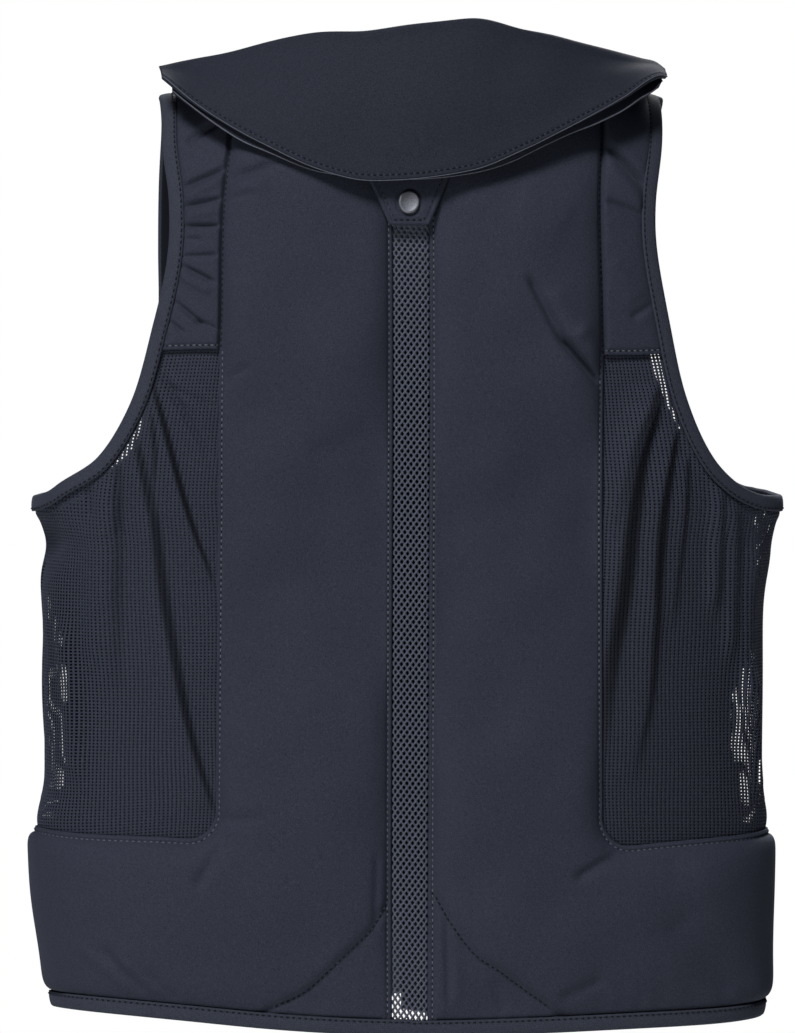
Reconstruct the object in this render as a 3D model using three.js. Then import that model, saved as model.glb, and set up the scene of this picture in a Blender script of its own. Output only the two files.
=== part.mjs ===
// Riding airbag vest, built the way it is sewn: padded back panels either side of a spacer-mesh spine,
// shoulder panels, net sides, plain fronts with a zip, bound edges, and a folded neck collar with a snap tab.
// Millimetres, +Z up. The origin lies between the shoulder straps, where a wearer's shoulders carry the vest.
// +X is the wearer's right, +Y the wearer's front, so the back of the vest faces -Y.
import * as THREE from "three";

// Shoulder line and neck
const NECK_HALF = 75; // half the width of the neck opening, at the straps
const TIP_HALF = 146; // half the width over the shoulder tips
const STRAP_NECK_Z = 22; // height of a strap beside the neck
const STRAP_TIP_Z = -2; // height of a strap at the shoulder tip
const STRAP_ROUND = 90; // drop over which a strap rounds from its top into the back or the front
const NECK_BACK_DROP = 24; // the neckline below the strap tops, at the back
const NECK_FRONT_DROP = 92; // and at the front

// Wall thicknesses and gaps
const PAD_EDGE = 3; // a padded panel where it is sewn down
const PAD_MIDDLE = 8; // and in its middle
const SHOULDER_THICK = 3.5;
const FRONT_THICK = 4;
const NET_THICK = 1.2;
const SPINE_THICK = 3.2;
const TAPE_THICK = 4.4; // binding tape, folded round an edge
const TAPE_WIDE = 9.5;
const GAP = 0.6; // between neighbouring pieces

// Seams, in the back's own view: x from the middle, z up
const SPINE_HALF = 12.5; // the spine strip is 25 mm wide
const ZIP_HALF = 4;
const SEAM_TOP_X = 105; // the back panel's outer seam at the strap top
const SEAM_MID_X = 110.5; // at the top of the net
const SEAM_LOW_X = 112; // at the foot of the net
const NET_TOP_Z = -148;
const BAND_INNER_Z = -434; // top of the lower band, at the back panel's corner
const BAND_SIDE_Z = -425; // and at the wearer's side
const CORNER_ROUND = 17; // radius of the panel's inner corner, under the net
const FRONT_SEAM_X = 195; // where the net and the band meet the front panel
const HEM_MID_Z = -543;
const HEM_SIDE_RISE = 9;
const HEM_HALF = 205;

// The torso that the vest keeps, by the drop below the shoulder line: its inner half width and half depths.
const SQUARENESS = 0.05; // 0 is an ellipse; a little more flattens the back and the sides
const TORSO = [
  { drop: 0, halfWidth: 172, back: 60, front: 52 },
  { drop: 60, halfWidth: 179, back: 66, front: 56 },
  { drop: 120, halfWidth: 190, back: 72, front: 61 },
  { drop: 180, halfWidth: 204, back: 74, front: 67 },
  { drop: 232, halfWidth: 213, back: 73, front: 70 },
  { drop: 262, halfWidth: 210, back: 71, front: 70 },
  { drop: 400, halfWidth: 208, back: 65, front: 67 },
  { drop: 445, halfWidth: 210.5, back: 63, front: 65 },
  { drop: 490, halfWidth: 209, back: 62, front: 63 },
  { drop: 570, halfWidth: 200, back: 62, front: 62 },
];

// The armhole's bound edge, from the shoulder tip to the underarm, on the back and on the front.
const ARMHOLE = [
  { z: -2, backX: 146, frontX: 146 },
  { z: -30, backX: 143.5, frontX: 143 },
  { z: -62, backX: 140.5, frontX: 139 },
  { z: -92, backX: 141.5, frontX: 138 },
  { z: -132, backX: 149, frontX: 137 },
  { z: -175, backX: 160, frontX: 156 },
  { z: -209, backX: 177, frontX: 176 },
  { z: -227, backX: 201, frontX: 200 },
  { z: -231, backX: 209, frontX: 209 },
  { z: -232, backX: 213, frontX: 213 },
];

// The main folds of the slack net, from the armhole down to the panel's seam.
const NET_FOLDS = [
  { topX: 149, topZ: -165, footX: 117, footZ: -395, wide: 9, high: 4 },
  { topX: 166, topZ: -215, footX: 142, footZ: -330, wide: 8, high: 3 },
  { topX: 197, topZ: -250, footX: 190, footZ: -390, wide: 9, high: 3 },
];

// The folded collar: its ridge as the back view shows it, and the lower edges of its two leaves.
const COLLAR_HALF = 147;
const COLLAR_THICK = 2.4;
const RIDGE_TIP_Y = -14;
const RIDGE_MID_Y = -62;
const FLAP_TIP_Y = -30;
const FLAP_MID_Y = -90;
const FOLD_REACH = 7; // half the width of the rounded fold along the ridge
const COLLAR = [
  { x: -147, ridgeZ: 16, flapZ: 9 },
  { x: -105, ridgeZ: 25.5, flapZ: -20 },
  { x: -55, ridgeZ: 38, flapZ: -43 },
  { x: -24, ridgeZ: 37, flapZ: -49 },
  { x: 34, ridgeZ: 45, flapZ: -46 },
  { x: 81, ridgeZ: 34.5, flapZ: -27 },
  { x: 127, ridgeZ: 23, flapZ: -4 },
  { x: 147, ridgeZ: 15, flapZ: 9 },
];
const LEAF_HALF = 130;
const LEAF_THICK = 1.4;
const LEAF_LIFT = 11; // the lower leaf lies over the padding
const LEAF_TIP_LIFT = 6; // and closer to the straps at its tips
const LEAF_TOP_DROP = 30; // the leaf's upper edge below the strap tops, in the middle
const LEAF_TIP_DROP = 4; // and at its tips
const LEAF = [
  { x: 0, z: -47 },
  { x: 50, z: -45.5 },
  { x: 93, z: -30 },
  { x: 130, z: -9 },
];

// Snap tab
const TAB_TOP_Z = -43;
const TAB_FOOT_Z = -76.5;
const TAB_TOP_HALF = 23;
const TAB_FOOT_HALF = 15;
const TAB_THICK = 2;
const TAB_LIFT = 7.6;
const SNAP_Z = -63;
const SNAP_RADIUS = 6.1;
const SNAP_HIGH = 2.2;

// Finishes
const finish = (color, roughness, metalness = 0) =>
  new THREE.MeshStandardMaterial({ color, roughness, metalness });
const SHELL_FABRIC = finish(0x30333f, 0.85);
const NET_FABRIC = finish(0x272a35, 0.9);
const SPACER_MESH = finish(0x454a57, 0.85);
const TAPE = finish(0x2c2f3a, 0.8);
const SNAP_METAL = finish(0x8a8e99, 0.35, 0.9);
const ZIP_PLASTIC = finish(0x1d1f27, 0.5);

// Reading a table smoothly: a cubic through its rows, level with the chord between each row's neighbours.
function readTable(table, key, column, at) {
  const last = table.length - 2;
  let row = 0;
  while (row < last && at > table[row + 1][key]) row++;
  const slope = (i) => {
    const a = table[Math.max(0, i - 1)];
    const b = table[Math.min(table.length - 1, i + 1)];
    return (b[column] - a[column]) / (b[key] - a[key]);
  };
  const [from, to] = [table[row], table[row + 1]];
  const span = to[key] - from[key];
  const t = THREE.MathUtils.clamp((at - from[key]) / span, 0, 1);
  const bend = (1 - t) * slope(row) * span * t * (1 - t) - t * slope(row + 1) * span * t * (1 - t);
  const ease = t * t * (3 - 2 * t);
  return from[column] * (1 - ease) + to[column] * ease + bend;
}

// The torso surface. A mark on it is [angle, drop]: angle 0 is the middle of the back, a quarter turn the
// wearer's right side and a half turn the middle of the front; drop is measured down from the shoulder line.
const sideways = (a) => (Math.sin(a) + SQUARENESS * Math.sin(3 * a)) / (1 - SQUARENESS);
const depthways = (a) => (Math.cos(a) - SQUARENESS * Math.cos(3 * a)) / (1 - SQUARENESS);
const torso = (column, drop) => readTable(TORSO, "drop", column, drop);

function shoulderLine(x) {
  const t = THREE.MathUtils.clamp((Math.abs(x) - NECK_HALF) / (TIP_HALF - NECK_HALF), 0, 1);
  return THREE.MathUtils.lerp(STRAP_NECK_Z, STRAP_TIP_Z, (1 - Math.cos(Math.PI * t)) / 2);
}

function roundOver(drop) {
  const left = Math.max(0, 1 - Math.max(0, drop) / STRAP_ROUND);
  return Math.sqrt(1 - left * left);
}

function bodyPoint([angle, drop]) {
  const x = torso("halfWidth", drop) * sideways(angle);
  const depth = torso(Math.cos(angle) > 0 ? "back" : "front", drop);
  return new THREE.Vector3(x, -depth * depthways(angle) * roundOver(drop), shoulderLine(x) - drop);
}

function bodyNormal([angle, drop]) {
  const turn = 0.004;
  const step = 0.5;
  const along = bodyPoint([angle + turn, drop]).sub(bodyPoint([angle - turn, drop]));
  const down = bodyPoint([angle, drop + step]).sub(bodyPoint([angle, Math.max(0, drop - step)]));
  return down.cross(along).normalize();
}

const lifted = (mark, height) => bodyPoint(mark).addScaledVector(bodyNormal(mark), height);

// The mark under a point of the back or front view, found by halving because sideways() has no simple inverse.
function markAt(x, z, front = false) {
  const drop = shoulderLine(x) - z;
  const share = Math.min(1, x / torso("halfWidth", drop));
  let [low, high] = [-Math.PI / 2, Math.PI / 2];
  for (let i = 0; i < 40; i++) {
    const middle = (low + high) / 2;
    if (sideways(middle) < share) low = middle;
    else high = middle;
  }
  return [front ? Math.PI - high : high, drop];
}

const blend = (a, b, t) => a.map((value, i) => value + (b[i] - value) * t);

// A four-sided patch of marks between its edges. Seen from outside, u runs to the right and v runs down.
function patch(left, right, top, bottom) {
  const corners = [top(0), top(1), bottom(0), bottom(1)];
  return (u, v) =>
    blend(left(v), right(v), u).map((value, i) => {
      const above = top(u)[i] - blend(corners[0], corners[1], u)[i];
      const below = bottom(u)[i] - blend(corners[2], corners[3], u)[i];
      return value + above * (1 - v) + below * v;
    });
}

const ruled = (left, right) =>
  patch(left, right, (u) => blend(left(0), right(0), u), (u) => blend(left(1), right(1), u));

// A curved wall as one closed solid: an inner and an outer grid of points, and a rim that joins them.
function wall(rows, columns, inner, outer, rowAt = (t) => t) {
  const points = [];
  for (const face of [outer, inner])
    for (let i = 0; i <= rows; i++)
      for (let j = 0; j <= columns; j++) points.push(face(j / columns, rowAt(i / rows)));
  const wide = columns + 1;
  const inside = (rows + 1) * wide;
  const faces = [];
  const quad = (a, b, c, d) => faces.push(a, b, c, a, c, d);
  for (let i = 0; i < rows; i++)
    for (let j = 0; j < columns; j++) {
      const a = i * wide + j;
      quad(a, a + wide, a + wide + 1, a + 1);
      quad(inside + a, inside + a + 1, inside + a + wide + 1, inside + a + wide);
    }
  const rim = (a, b) => quad(a, b, inside + b, inside + a);
  for (let j = 0; j < columns; j++) {
    rim(j, j + 1);
    rim(rows * wide + j + 1, rows * wide + j);
  }
  for (let i = 0; i < rows; i++) {
    rim((i + 1) * wide, i * wide);
    rim(i * wide + columns, (i + 1) * wide + columns);
  }
  return solidFrom(points, faces);
}

function solidFrom(points, faces) {
  const geometry = new THREE.BufferGeometry().setFromPoints(points).setIndex(faces);
  geometry.computeVertexNormals();
  return geometry;
}

// A wall that lies on the torso over a patch of marks.
function bodyWall(rows, columns, marks, thickness, lift = () => 0, rowAt = undefined) {
  const face = (share) => (u, v) => lifted(marks(u, v), lift(u, v) + share * thickness(u, v));
  return wall(rows, columns, face(0), face(1), rowAt);
}

// A flat oval tape along a line of marks, closed into a loop or capped at its ends.
const TAPE_SIDES = 8;
function tape(marks, closed) {
  const spine = marks.map((mark) => lifted(mark, TAPE_THICK / 2));
  const count = spine.length;
  const points = [];
  marks.forEach((mark, i) => {
    const before = closed ? (i + count - 1) % count : Math.max(0, i - 1);
    const after = closed ? (i + 1) % count : Math.min(count - 1, i + 1);
    const along = spine[after].clone().sub(spine[before]).normalize();
    const across = along.clone().cross(bodyNormal(mark)).normalize();
    const up = across.clone().cross(along);
    for (let k = 0; k < TAPE_SIDES; k++) {
      const turn = (2 * Math.PI * k) / TAPE_SIDES;
      const wide = Math.sign(Math.cos(turn)) * Math.sqrt(Math.abs(Math.cos(turn)));
      const high = Math.sign(Math.sin(turn)) * Math.sqrt(Math.abs(Math.sin(turn)));
      points.push(
        spine[i]
          .clone()
          .addScaledVector(across, (wide * TAPE_WIDE) / 2)
          .addScaledVector(up, (high * TAPE_THICK) / 2),
      );
    }
  });
  const faces = [];
  const ring = (i, k) => (i % count) * TAPE_SIDES + (k % TAPE_SIDES);
  for (let i = 0; i < (closed ? count : count - 1); i++)
    for (let k = 0; k < TAPE_SIDES; k++) {
      faces.push(ring(i, k), ring(i + 1, k + 1), ring(i, k + 1));
      faces.push(ring(i, k), ring(i + 1, k), ring(i + 1, k + 1));
    }
  if (!closed)
    for (let k = 1; k < TAPE_SIDES - 1; k++) {
      faces.push(ring(0, 0), ring(0, k), ring(0, k + 1));
      faces.push(ring(count - 1, 0), ring(count - 1, k + 1), ring(count - 1, k));
    }
  return solidFrom(points, faces);
}

// Seam lines
const hemAt = (x) => HEM_MID_Z + HEM_SIDE_RISE * (x / HEM_HALF) ** 2;
const panelFootAt = (x) => hemAt(x) + TAPE_WIDE + GAP;
const backNeckDrop = (x) => NECK_BACK_DROP * Math.max(0, 1 - (x / NECK_HALF) ** 2);
const frontNeckDrop = (x) => NECK_FRONT_DROP * Math.max(0, 1 - (x / NECK_HALF) ** 2);
const seamAt = (z) =>
  z > NET_TOP_Z
    ? THREE.MathUtils.mapLinear(z, STRAP_NECK_Z, NET_TOP_Z, SEAM_TOP_X, SEAM_MID_X)
    : THREE.MathUtils.mapLinear(z, NET_TOP_Z, BAND_INNER_Z, SEAM_MID_X, SEAM_LOW_X);
const bandTopAt = (x) =>
  THREE.MathUtils.lerp(BAND_INNER_Z, BAND_SIDE_Z, Math.min(1, (x - SEAM_LOW_X) / 95));

// A row spacing that is fine near the strap top, where the wall turns over it.
const fineTop = (t) => t ** 1.6;

// The armhole edge as a smooth line in the back or front view, set in from its edge by a distance.
const armholeLine = (column) =>
  new THREE.SplineCurve(ARMHOLE.map((row) => new THREE.Vector2(row[column], row.z)));
const ARMHOLE_LINES = { back: armholeLine("backX"), front: armholeLine("frontX") };

function armholePoint(face, t, inset) {
  const point = ARMHOLE_LINES[face].getPoint(t);
  const along = ARMHOLE_LINES[face].getTangent(t);
  return new THREE.Vector2(point.x + along.y * inset, point.y - along.x * inset);
}

function armholeMark(face, t, inset) {
  const point = armholePoint(face, t, inset);
  const front = face === "front";
  return markAt(point.x, Math.min(point.y, shoulderLine(point.x)), front);
}

// How far along an armhole line a test first holds, found by halving.
function armholeShare(face, inset, isPast) {
  let [low, high] = [0, 1];
  for (let i = 0; i < 30; i++) {
    const middle = (low + high) / 2;
    if (isPast(armholePoint(face, middle, inset))) high = middle;
    else low = middle;
  }
  return high;
}

const EDGE_INSET = TAPE_WIDE + 2 * GAP; // panels stop where the binding starts
const SHOULDER_CORNER = armholeShare("back", EDGE_INSET, (p) => p.y < NET_TOP_Z);
const NET_CORNER = armholeShare("back", EDGE_INSET, (p) => p.y < NET_TOP_Z - 2 * GAP);
const FRONT_CORNER = armholeShare("front", EDGE_INSET, (p) => p.x > FRONT_SEAM_X);

// Crowned padding: thin at the sewn edges, full in the middle.
const crown = (t, power) => 1 - Math.abs(2 * t - 1) ** power;
const padding = (u, v) => PAD_EDGE + (PAD_MIDDLE - PAD_EDGE) * crown(u, 4) * crown(v, 8);

// Right back panel: from the neckline down the spine, then along the hem to the wearer's side. Its two long
// edges turn the lower corner together, so each row of the wall runs from the spine or hem to the seam or net.
const PANEL_ROWS = 28;
const TURN = 16 / PANEL_ROWS; // share of each long edge that is spent before the middle of the corner
const CORNER_SHARE = 2 / PANEL_ROWS; // share spent on each half of the rounded corner

function backPanel() {
  const innerX = SPINE_HALF + GAP;
  const topZ = shoulderLine(innerX) - backNeckDrop(innerX);
  const footAngle = markAt(FRONT_SEAM_X + GAP, panelFootAt(FRONT_SEAM_X), true)[0];
  const sideAngle = markAt(FRONT_SEAM_X + GAP, BAND_SIDE_Z, true)[0];
  const hemFrom = markAt(innerX, panelFootAt(innerX));
  const left = (v) => {
    if (v < TURN) return markAt(innerX, THREE.MathUtils.lerp(topZ, panelFootAt(innerX), v / TURN));
    const angle = THREE.MathUtils.lerp(hemFrom[0], footAngle, (v - TURN) / (1 - TURN));
    const x = HEM_HALF * sideways(angle);
    return [angle, shoulderLine(x) - panelFootAt(x)];
  };
  const cornerX = SEAM_LOW_X + CORNER_ROUND;
  const cornerZ = bandTopAt(cornerX) + CORNER_ROUND;
  const bandFrom = markAt(cornerX, bandTopAt(cornerX));
  const right = (v) => {
    const [start, end] = [TURN - CORNER_SHARE, TURN + CORNER_SHARE];
    if (v < start) {
      const z = THREE.MathUtils.lerp(shoulderLine(SEAM_TOP_X), cornerZ, fineTop(v / start));
      return markAt(seamAt(z), Math.min(z, shoulderLine(seamAt(z))));
    }
    if (v < end) {
      const turn = ((v - start) / (end - start)) * (Math.PI / 2);
      return markAt(cornerX - CORNER_ROUND * Math.cos(turn), cornerZ - CORNER_ROUND * Math.sin(turn));
    }
    const angle = THREE.MathUtils.lerp(bandFrom[0], sideAngle, (v - end) / (1 - end));
    const x = torso("halfWidth", -BAND_SIDE_Z) * sideways(angle);
    const bandZ = angle > Math.PI / 2 ? BAND_SIDE_Z : bandTopAt(x);
    return [angle, shoulderLine(x) - bandZ];
  };
  const top = (u) => {
    const x = THREE.MathUtils.lerp(innerX, SEAM_TOP_X, u);
    return markAt(x, shoulderLine(x) - backNeckDrop(x));
  };
  const seamFoot = panelFootAt(FRONT_SEAM_X);
  const bottom = (u) =>
    markAt(FRONT_SEAM_X + GAP, THREE.MathUtils.lerp(seamFoot, BAND_SIDE_Z, u), true);
  return bodyWall(PANEL_ROWS, 7, patch(left, right, top, bottom), padding);
}

// Right shoulder panel: from the back panel's seam out to the armhole binding, up to the strap top.
function shoulderPanel() {
  const left = (v) => {
    const z = THREE.MathUtils.lerp(shoulderLine(SEAM_TOP_X), NET_TOP_Z, v);
    return markAt(seamAt(z) + GAP, Math.min(z, shoulderLine(seamAt(z) + GAP)));
  };
  const right = (v) => armholeMark("back", SHOULDER_CORNER * v, EDGE_INSET);
  return bodyWall(9, 4, ruled(left, right), () => SHOULDER_THICK, undefined, fineTop);
}

// How far a mark's point lies from a fold's line, and how far along it, as the back view shows them.
function foldLift(point) {
  return NET_FOLDS.reduce((sum, fold) => {
    const alongX = fold.footX - fold.topX;
    const alongZ = fold.footZ - fold.topZ;
    const long = Math.hypot(alongX, alongZ);
    const [dx, dz] = [point.x - fold.topX, point.z - fold.topZ];
    const t = THREE.MathUtils.clamp((dx * alongX + dz * alongZ) / long ** 2, 0, 1);
    const away = (dx * alongZ - dz * alongX) / long;
    return sum + fold.high * Math.sin(Math.PI * t) * Math.exp(-((away / fold.wide) ** 2));
  }, 0);
}

const NET_COLUMNS = 16;

// Right side net: from the back panel's seam round the wearer's side to the front panel, under the armhole.
function sideNet() {
  const cornerZ = bandTopAt(SEAM_LOW_X) + CORNER_ROUND;
  const left = (v) => {
    const z = THREE.MathUtils.lerp(NET_TOP_Z - 2 * GAP, cornerZ, v);
    return markAt(seamAt(z) + GAP, z);
  };
  const frontTop = armholePoint("front", FRONT_CORNER, EDGE_INSET).y;
  const right = (v) =>
    markAt(FRONT_SEAM_X + GAP, THREE.MathUtils.lerp(frontTop, BAND_SIDE_Z + GAP, v), true);
  const seamShare = 2 / NET_COLUMNS; // of the top edge: the sewn seam under the shoulder panel
  const underarm = 11 / NET_COLUMNS;
  const top = (u) => {
    if (u < seamShare) return blend(left(0), armholeMark("back", NET_CORNER, EDGE_INSET), u / seamShare);
    const back = THREE.MathUtils.mapLinear(u, seamShare, underarm, NET_CORNER, 1);
    const front = THREE.MathUtils.mapLinear(u, underarm, 1, 1, FRONT_CORNER);
    return u < underarm
      ? armholeMark("back", back, EDGE_INSET)
      : armholeMark("front", front, EDGE_INSET);
  };
  const bottom = (u) => {
    const angle = THREE.MathUtils.lerp(left(1)[0], right(1)[0], u ** 1.7); // finer in the corner
    const x = torso("halfWidth", -BAND_SIDE_Z) * sideways(angle);
    const inCorner = Math.max(0, SEAM_LOW_X + CORNER_ROUND - x);
    const round = CORNER_ROUND - Math.sqrt(Math.max(0, CORNER_ROUND ** 2 - inCorner ** 2));
    const bandZ = angle > Math.PI / 2 ? BAND_SIDE_Z : bandTopAt(x);
    return [angle, shoulderLine(x) - bandZ - round - GAP];
  };
  const marks = patch(left, right, top, bottom);
  const edgeFade = (u, v) => crown(u, 6) * crown(v, 6);
  const lift = (u, v) => {
    const [angle] = marks(u, v);
    return angle < Math.PI / 2 ? foldLift(bodyPoint(marks(u, v))) * edgeFade(u, v) : 0;
  };
  return bodyWall(12, NET_COLUMNS, marks, () => NET_THICK, lift);
}

// Right front panel: from the front seam and armhole across to the zip, up to the neckline and strap top.
function frontPanel() {
  const turn = 0.45; // share of the outer edge that follows the armhole
  const turnZ = armholePoint("front", FRONT_CORNER, EDGE_INSET).y;
  const outerX = FRONT_SEAM_X - GAP;
  const innerX = ZIP_HALF + GAP;
  const left = (v) => {
    if (v < turn) return armholeMark("front", FRONT_CORNER * (v / turn), EDGE_INSET);
    const z = THREE.MathUtils.mapLinear(v, turn, 1, turnZ, panelFootAt(outerX));
    return markAt(outerX, z, true);
  };
  const topZ = shoulderLine(innerX) - frontNeckDrop(innerX);
  const right = (v) => markAt(innerX, THREE.MathUtils.lerp(topZ, panelFootAt(innerX), v), true);
  const topX = armholePoint("front", 0, EDGE_INSET).x;
  const top = (u) => {
    const x = THREE.MathUtils.lerp(topX, innerX, u);
    return markAt(x, shoulderLine(x) - frontNeckDrop(x), true);
  };
  const bottom = (u) => {
    const angle = THREE.MathUtils.lerp(left(1)[0], right(1)[0], u);
    const x = HEM_HALF * sideways(angle);
    return [angle, shoulderLine(x) - panelFootAt(x)];
  };
  const rowAt = (t) => (t < 0.75 ? turn * (t / 0.75) ** 1.3 : turn + (1 - turn) * (4 * t - 3));
  return bodyWall(20, 8, patch(left, right, top, bottom), () => FRONT_THICK, undefined, rowAt);
}

// A straight strip down the middle of the back or the front, ending at the hem binding or at the hem itself.
function middleStrip(half, topZ, footZ, thickness, front) {
  const side = (x) => (v) => {
    const [angle, drop] = markAt(Math.abs(x), THREE.MathUtils.lerp(topZ, footZ, v), front);
    return [x < 0 ? (front ? 2 * Math.PI - angle : -angle) : angle, drop];
  };
  const strip = front ? ruled(side(half), side(-half)) : ruled(side(-half), side(half));
  return bodyWall(14, 2, strip, () => thickness);
}

// Bindings
const ARMHOLE_STEPS = 22;
function armholeBinding() {
  const steps = Array.from({ length: ARMHOLE_STEPS }, (_, i) => i / ARMHOLE_STEPS);
  const down = steps.map((t) => armholeMark("back", t, TAPE_WIDE / 2));
  const up = steps.map((t) => armholeMark("front", 1 - t, TAPE_WIDE / 2));
  return tape([...down, ...up], true);
}

const HEM_STEPS = 44;
function hemBinding() {
  const end = markAt(ZIP_HALF + GAP, hemAt(0) + TAPE_WIDE / 2, true)[0];
  const marks = Array.from({ length: HEM_STEPS + 1 }, (_, i) => {
    const angle = THREE.MathUtils.lerp(-end, end, i / HEM_STEPS);
    const x = HEM_HALF * sideways(angle);
    return [angle, shoulderLine(x) - hemAt(x) - TAPE_WIDE / 2];
  });
  return tape(marks, false);
}

// The two leaves of the collar. The flap is one sheet: up from the neckline, over the ridge and down the back.
const collarAt = (column, x) => readTable(COLLAR, "x", column, x);
const arch = (x) => Math.max(0, 1 - (x / COLLAR_HALF) ** 2);

function flapProfile(x) {
  const neck = markAt(Math.abs(x), shoulderLine(x) - backNeckDrop(x));
  const base = lifted(neck, PAD_EDGE + 3).setX(x);
  const ridgeY = THREE.MathUtils.lerp(RIDGE_TIP_Y, RIDGE_MID_Y, arch(x));
  const edgeY = THREE.MathUtils.lerp(FLAP_TIP_Y, FLAP_MID_Y, arch(x) ** 0.8);
  const ridge = new THREE.Vector3(x, ridgeY, collarAt("ridgeZ", x));
  const edge = new THREE.Vector3(x, edgeY, collarAt("flapZ", x));
  const near = (end) => {
    const leg = end.clone().sub(ridge);
    const reach = Math.min(FOLD_REACH, leg.length() * 0.4);
    return ridge.clone().addScaledVector(leg.normalize(), reach);
  };
  const middle = ridge.clone().lerp(edge, 0.55).add(new THREE.Vector3(0, -4 * arch(x), 3 * arch(x)));
  return new THREE.CatmullRomCurve3([base, near(base), ridge, near(edge), middle, edge]);
}

function collarFlap() {
  const columns = 24;
  const profiles = new Map();
  const point = (u, v) => {
    const x = THREE.MathUtils.lerp(-COLLAR_HALF, COLLAR_HALF, u);
    if (!profiles.has(x)) profiles.set(x, flapProfile(x));
    return profiles.get(x).getPoint(v);
  };
  const nudge = 1 / 200;
  const normal = (u, v) => {
    const [left, right] = [Math.max(0, u - nudge), Math.min(1, u + nudge)];
    const [above, below] = [Math.max(0, v - nudge), Math.min(1, v + nudge)];
    const along = point(right, v).sub(point(left, v));
    return point(u, below).sub(point(u, above)).cross(along).normalize();
  };
  const face = (share) => (u, v) => point(u, v).addScaledVector(normal(u, v), share * COLLAR_THICK);
  return wall(11, columns, face(-0.5), face(0.5));
}

function collarLeaf() {
  const side = (x) => (z) => {
    const [angle, drop] = markAt(Math.abs(x), Math.min(z, shoulderLine(x)));
    return [Math.sign(x) * angle, drop];
  };
  const marks = (u, v) => {
    const x = THREE.MathUtils.lerp(-LEAF_HALF, LEAF_HALF, u);
    const top = shoulderLine(x) - THREE.MathUtils.lerp(LEAF_TOP_DROP, LEAF_TIP_DROP, (2 * u - 1) ** 2);
    const foot = readTable(LEAF, "x", "z", Math.abs(x));
    return side(x)(THREE.MathUtils.lerp(top, Math.min(foot, top - 3), v));
  };
  const lift = (u) => THREE.MathUtils.lerp(LEAF_LIFT, LEAF_TIP_LIFT, (2 * u - 1) ** 2);
  return bodyWall(4, 18, marks, () => LEAF_THICK, lift);
}

// Snap tab and its cap
function snapTab() {
  const side = (sign) => (v) => {
    const half = THREE.MathUtils.lerp(TAB_TOP_HALF, TAB_FOOT_HALF, v);
    const [angle, drop] = markAt(half, THREE.MathUtils.lerp(TAB_TOP_Z, TAB_FOOT_Z, v));
    return [sign * angle, drop];
  };
  return bodyWall(4, 6, ruled(side(-1), side(1)), () => TAB_THICK, () => TAB_LIFT);
}

function snapCap() {
  const rim = SNAP_HIGH * 0.4;
  const profile = [new THREE.Vector2(0, 0), new THREE.Vector2(SNAP_RADIUS, 0), new THREE.Vector2(SNAP_RADIUS, rim)];
  for (const turn of [30, 60, 90]) {
    const angle = THREE.MathUtils.degToRad(turn);
    const rise = rim + (SNAP_HIGH - rim) * Math.sin(angle);
    profile.push(new THREE.Vector2(SNAP_RADIUS * Math.cos(angle) ** 0.6, rise));
  }
  profile[profile.length - 1].x = 0;
  return new THREE.LatheGeometry(profile, 24);
}

// Assembly
const vest = new THREE.Group();

function add(name, geometry, material) {
  const mesh = new THREE.Mesh(geometry, material);
  mesh.name = name;
  vest.add(mesh);
  return mesh;
}

function addPair(name, geometry, material) {
  add(name + "_right", geometry, material);
  add(name + "_left", geometry, material).scale.x = -1;
}

addPair("back_panel", backPanel(), SHELL_FABRIC);
addPair("shoulder_panel", shoulderPanel(), SHELL_FABRIC);
addPair("side_net", sideNet(), NET_FABRIC);
addPair("front_panel", frontPanel(), SHELL_FABRIC);
addPair("armhole_binding", armholeBinding(), TAPE);
add("spine_mesh", middleStrip(SPINE_HALF, -12, panelFootAt(0), SPINE_THICK, false), SPACER_MESH);
add("front_zip", middleStrip(ZIP_HALF, STRAP_NECK_Z - NECK_FRONT_DROP - 2, hemAt(0), FRONT_THICK, true), ZIP_PLASTIC);
add("hem_binding", hemBinding(), TAPE);
add("collar_flap", collarFlap(), SHELL_FABRIC);
add("collar_leaf", collarLeaf(), SHELL_FABRIC);
add("snap_tab", snapTab(), SHELL_FABRIC);

const snapMark = markAt(0, SNAP_Z);
const snap = add("snap_cap", snapCap(), SNAP_METAL);
snap.position.copy(lifted(snapMark, TAB_LIFT + TAB_THICK + 0.3));
snap.quaternion.setFromUnitVectors(new THREE.Vector3(0, 1, 0), bodyNormal(snapMark));

export default vest;
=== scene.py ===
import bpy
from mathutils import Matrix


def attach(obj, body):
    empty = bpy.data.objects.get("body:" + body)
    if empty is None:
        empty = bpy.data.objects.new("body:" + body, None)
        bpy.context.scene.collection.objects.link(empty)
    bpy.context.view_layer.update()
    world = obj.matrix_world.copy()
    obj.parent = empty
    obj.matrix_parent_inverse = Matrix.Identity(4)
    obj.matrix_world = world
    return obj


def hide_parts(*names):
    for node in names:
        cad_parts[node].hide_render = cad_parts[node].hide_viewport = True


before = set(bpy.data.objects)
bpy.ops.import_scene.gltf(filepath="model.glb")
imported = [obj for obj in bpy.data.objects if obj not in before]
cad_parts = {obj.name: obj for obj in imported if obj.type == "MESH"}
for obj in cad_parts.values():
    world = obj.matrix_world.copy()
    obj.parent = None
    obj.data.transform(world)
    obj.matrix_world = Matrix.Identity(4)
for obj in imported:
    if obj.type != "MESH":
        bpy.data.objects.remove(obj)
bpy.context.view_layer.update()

import bpy
import numpy as np
from mathutils import Vector

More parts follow.
